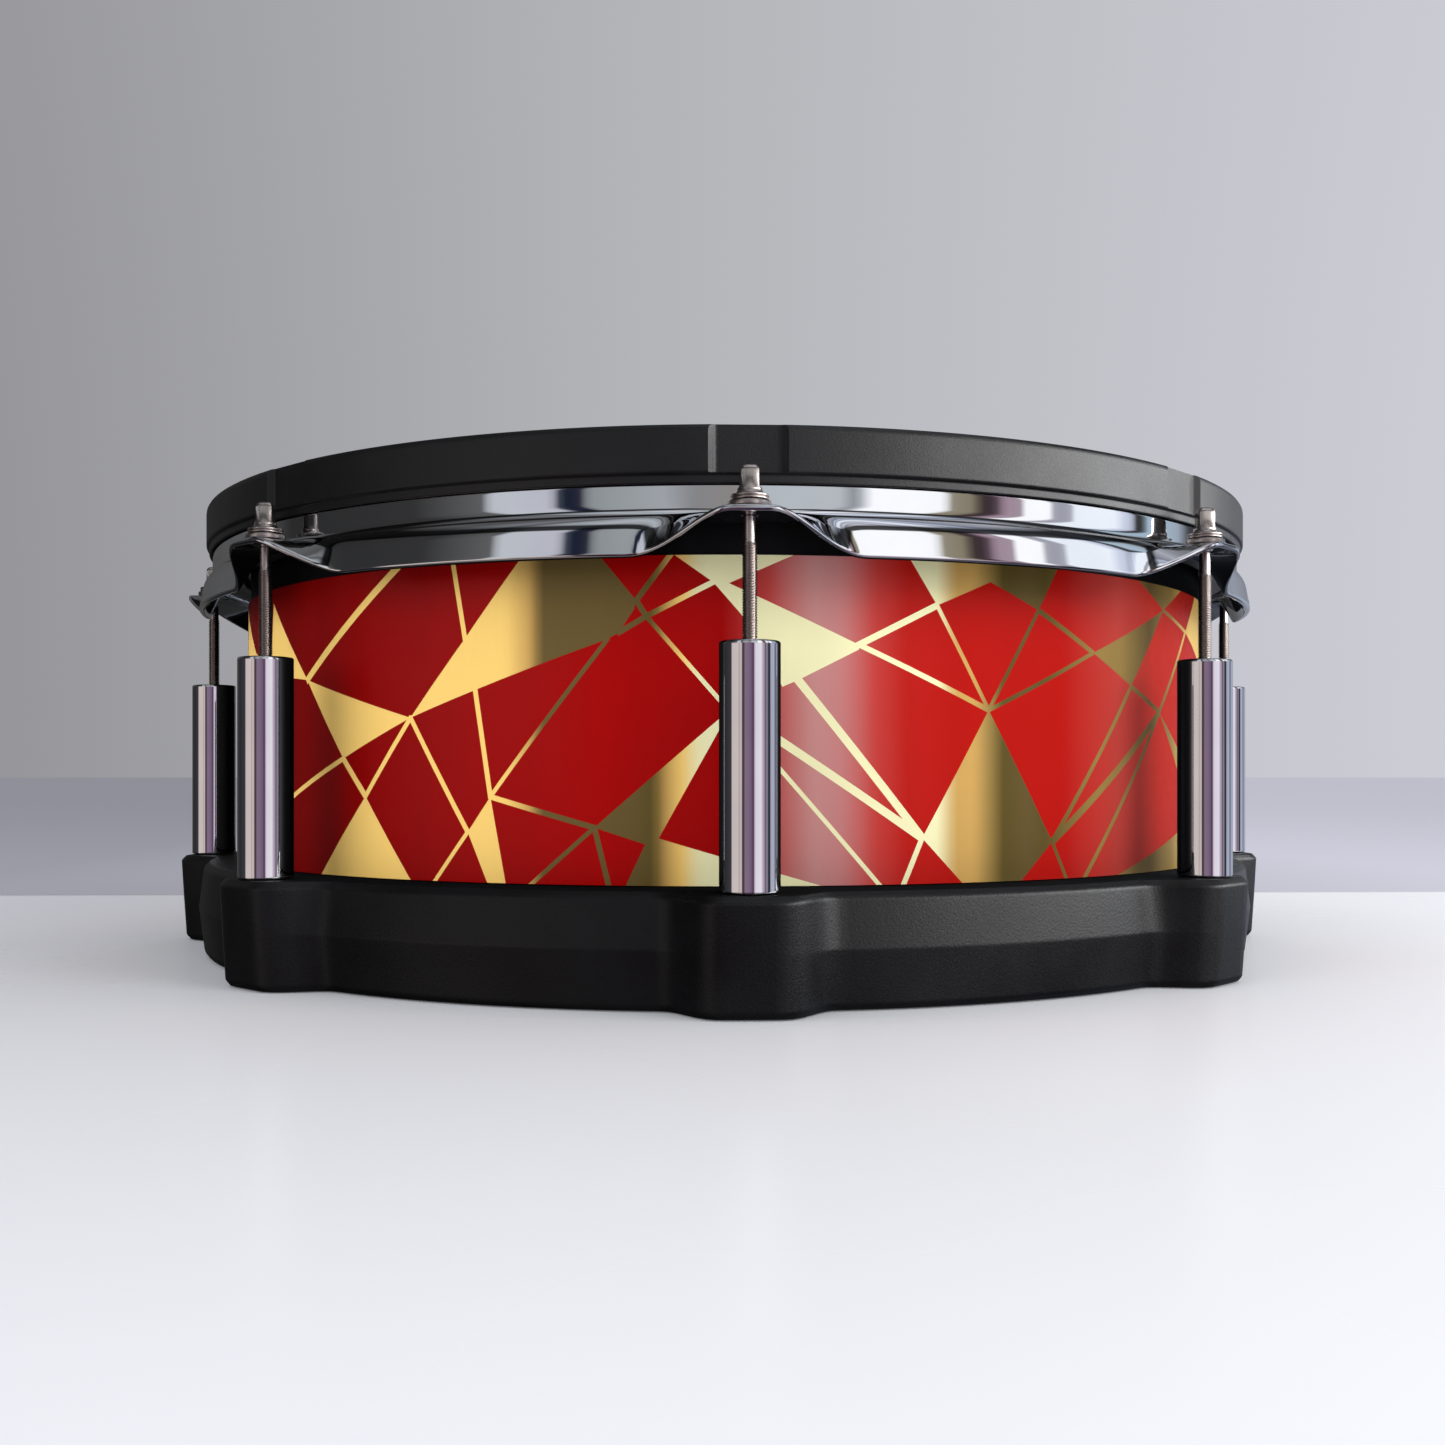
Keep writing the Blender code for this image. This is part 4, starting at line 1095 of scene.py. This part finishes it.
WALL_LIGHT = [
    (-180, 6), (-118, 12), (-104, 3), (-68, 4), (-52, 14), (-50, 64, 67, 70), (-37, 61, 61, 68),
    (-35, 1, 2, 4), (-31, 2, 2, 4), (-29, 34, 37, 37), (-14, 44, 46, 48), (-8, 31), (1, 33, 30, 28),
    (5, 56, 60, 63), (21, 61, 64, 66), (24, 36, 38, 40), (26, 60, 63, 66), (27.5, 127), (43, 125),
    (45, 36, 32, 24), (49, 30, 26, 18), (51.5, 6, 4, 4), (54.5, 6, 4, 5), (57, 44, 31, 38),
    (60.5, 46, 36, 42), (61.5, 127), (67.5, 125), (69, 44, 44, 50), (73, 46, 46, 52),
    (74.5, 110, 115, 120), (86, 110, 115, 120), (89, 75, 80, 95), (91, 70, 75, 90), (92.5, 5), (95, 5),
    (97, 50, 64, 75), (108, 42, 50, 58), (113, 6), (122, 6), (135, 35, 38, 44), (180, 6),
]
CEILING_LIGHT = [
    (-180, 15), (-90, 10), (-70, 22, 23, 25), (-62, 10), (-54, 34, 36, 38), (-38, 52, 55, 58),
    (-30, 40, 42, 44), (-24, 60, 63, 66), (-12, 48, 50, 52), (-6, 30), (4, 42, 43, 46),
    (12, 90, 92, 96), (19, 90, 92, 98), (22, 42, 42, 46), (26, 50, 50, 55), (28, 98, 98, 102),
    (38, 98, 98, 102), (41, 36, 36, 42), (45, 72, 76, 84), (50, 34, 36, 44), (53, 94, 97, 105),
    (61, 94, 97, 105), (64, 30, 33, 42), (70, 62, 68, 80), (76, 24, 26, 34), (84, 35, 36, 40),
    (110, 50, 52, 58), (180, 15),
]
# The share of that light by height, from straight down at 0 to straight up at 1: dim below the
# table's edge, and a dark cornice between the wall and the ceiling.
CORNICE = [
    (0.0, 0.3), (0.40, 0.3), (0.43, 1.0), (0.79, 1.0), (0.81, 0.06), (0.88, 0.06), (0.92, 1.0), (1.0, 1.0),
]
WALL_START = (0.12, 0.14)    # heights between which each band gives way to the next one up
CEILING_START = (0.62, 0.74)
TONE_SCALE = 2.0             # ramps hold tones up to 1, so they are stored at half strength


def light_ramp(tree, turn, tones):
    """The tones round the drum. It is two ramps, as one holds at most 32 stops."""
    stops = []
    for degrees, *percent in tones:
        color = percent if len(percent) == 3 else percent * 3
        stops.append((degrees / 360.0 + 0.5, tuple(0.01 * c / TONE_SCALE for c in color)))
    middle = len(stops) // 2
    side = math_node(tree, "GREATER_THAN", turn, stops[middle][0])
    return mixed(tree, side, ramp(tree, turn, stops[:middle + 1]), ramp(tree, turn, stops[middle:]))


def make_world():
    world = bpy.data.worlds.new("studio")
    bpy.context.scene.world = world
    world.use_nodes = True
    tree = world.node_tree
    tree.nodes.clear()
    place = node(tree, "SeparateXYZ", {0: node(tree, "TexCoord").outputs["Generated"]})
    x, y, z = place.outputs
    angle = math_node(tree, "ARCTAN2", x, math_node(tree, "MULTIPLY", y, -1.0))
    turn = math_node(tree, "ADD", math_node(tree, "DIVIDE", angle, 2.0 * math.pi), 0.5)
    low = light_ramp(tree, turn, HORIZON_LIGHT)
    wall = light_ramp(tree, turn, WALL_LIGHT)
    ceiling = light_ramp(tree, turn, CEILING_LIGHT)
    seen = mixed(tree, spread(tree, z, 0.0, 1.0, *WALL_START), low, wall)
    seen = mixed(tree, spread(tree, z, 0.0, 1.0, *CEILING_START), seen, ceiling)
    share = ramp(tree, math_node(tree, "MULTIPLY_ADD", z, 0.5, 0.5),
                 [(height, grey(amount)) for height, amount in CORNICE])
    shiny = node(tree, "Background", {0: seen, 1: math_node(tree, "MULTIPLY", share, TONE_SCALE)})

    side = spread(tree, x, 0.0, 1.0, -0.9, 0.9)
    dome = mixed(tree, side, (0.80, 0.80, 0.82), (1.02, 1.02, 1.05))
    soft = node(tree, "Background", {0: dome, 1: 0.92})

    # The backdrop seen straight on is painted light and shade: darker grey to the left and paler to the
    # right, as a wall lit from the right.
    across = spread(tree, x, 0.0, 1.0, -0.46, 0.46)
    backdrop = ramp(tree, across, [(0.0, (0.285, 0.283, 0.305)), (0.45, (0.445, 0.45, 0.47)),
                                   (1.0, (0.60, 0.605, 0.66))])
    shown = node(tree, "Background", {0: backdrop, 1: 1.0})

    path = node(tree, "LightPath").outputs
    lit = node(tree, "MixShader", {0: path["Is Glossy Ray"], 1: soft.outputs[0], 2: shiny.outputs[0]})
    sky = node(tree, "MixShader", {0: path["Is Camera Ray"], 1: lit.outputs[0], 2: shown.outputs[0]})
    node(tree, "OutputWorld", {0: sky.outputs[0]})


LAMP_TARGET = Vector((0.0, 0.0, 0.08))


def make_light(name, size, power, place, diffuse=True, glossy=True, onto=()):
    """An area lamp aimed at the drum. With onto, it lights only the pieces of those names."""
    data = bpy.data.lights.new(name, "AREA")
    data.shape = "RECTANGLE"
    data.size, data.size_y = size
    data.energy = power
    lamp = bpy.data.objects.new(name, data)
    lamp.location = place
    lamp.rotation_euler = (LAMP_TARGET - Vector(place)).to_track_quat("-Z", "Y").to_euler()
    lamp.visible_diffuse = diffuse
    lamp.visible_glossy = glossy
    bpy.context.scene.collection.objects.link(lamp)
    if onto:
        lit = bpy.data.collections.new(name + "_lights")
        for piece_name in onto:
            lit.objects.link(bpy.data.objects[piece_name])
        lamp.light_linking.receiver_collection = lit


def make_lamps():
    """The key and the fill light every piece softly; only the satin pieces and the wrap show a sheen."""
    key_size, key_power, key_place = (0.9, 0.7), 8.0, (1.0, -0.75, 0.75)
    satin = ["base_frame_look", "hoop_cover_look"] + [f"tension_rod_look_{n + 1}" for n in range(LUGS)]
    make_light("key", key_size, key_power, key_place, glossy=False)
    make_light("key_sheen", key_size, key_power, key_place, diffuse=False, onto=satin + ["shell_wrap_print"])
    make_light("window", (1.6, 0.5), 15.0, (1.1, -0.35, 0.36), diffuse=False, onto=satin)
    make_light("fill", (1.2, 0.8), 7.5, (-1.1, -0.7, 0.45), glossy=False)


TABLE_EDGE = (0.192, 0.202)  # metres behind the drum's middle where the table top ends


def make_floor():
    """A pale table top, which gives way to the backdrop's grey behind the drum. Both are painted lighter to
    the right, as painted light from that side, and the table top has a faint painted glow, stronger to the
    right.
    """
    made, tree, shader = new_material("floor_pale", {})
    x, y, _ = node(tree, "SeparateXYZ", {0: node(tree, "TexCoord").outputs["Object"]}).outputs
    near = spread(tree, y, 1.0, 0.0, *TABLE_EDGE)
    across = spread(tree, x, 0.0, 1.0, -0.45, 0.45)
    # Behind the table and on it, the grey is painted lighter towards the right, as painted light from the
    # lamps' side.
    behind = ramp(tree, across, [(0.0, (0.33, 0.33, 0.37)), (1.0, (0.62, 0.62, 0.70))])
    front = ramp(tree, across, [(0.0, (0.74, 0.76, 0.82)), (0.5, (0.73, 0.74, 0.77)),
                                (1.0, (0.96, 0.97, 1.0))])
    # A painted glow: the table top emits faintly, more towards the right.
    painted_glow = spread(tree, x, 0.05, 0.19, -0.2, 0.3)
    connect(tree, shader, Base_Color=mixed(tree, near, behind, front),
            Emission_Color=front,
            Emission_Strength=math_node(tree, "MULTIPLY", near, painted_glow),
            Specular_IOR_Level=math_node(tree, "MULTIPLY", near, 0.2),
            Roughness=spread(tree, noise(tree, 4.0, 2.0), 0.26, 0.30))
    bm = bmesh.new()
    bmesh.ops.create_circle(bm, cap_ends=True, segments=96, radius=30.0)
    floor = link("floor", mesh_from("floor", bm), [made])
    floor.location.z = -0.0003
    floor.visible_glossy = False


def main():
    bpy.context.scene.view_settings.view_transform = "Standard"
    make_camera()
    mats = make_materials()
    for make in (make_base, make_shell, make_wrap, make_head, make_hoop, make_cover, make_lugs,
                 make_bridge, make_sensors, make_jack, make_leads):
        make(mats)
    make_world()
    make_lamps()
    make_floor()


main()
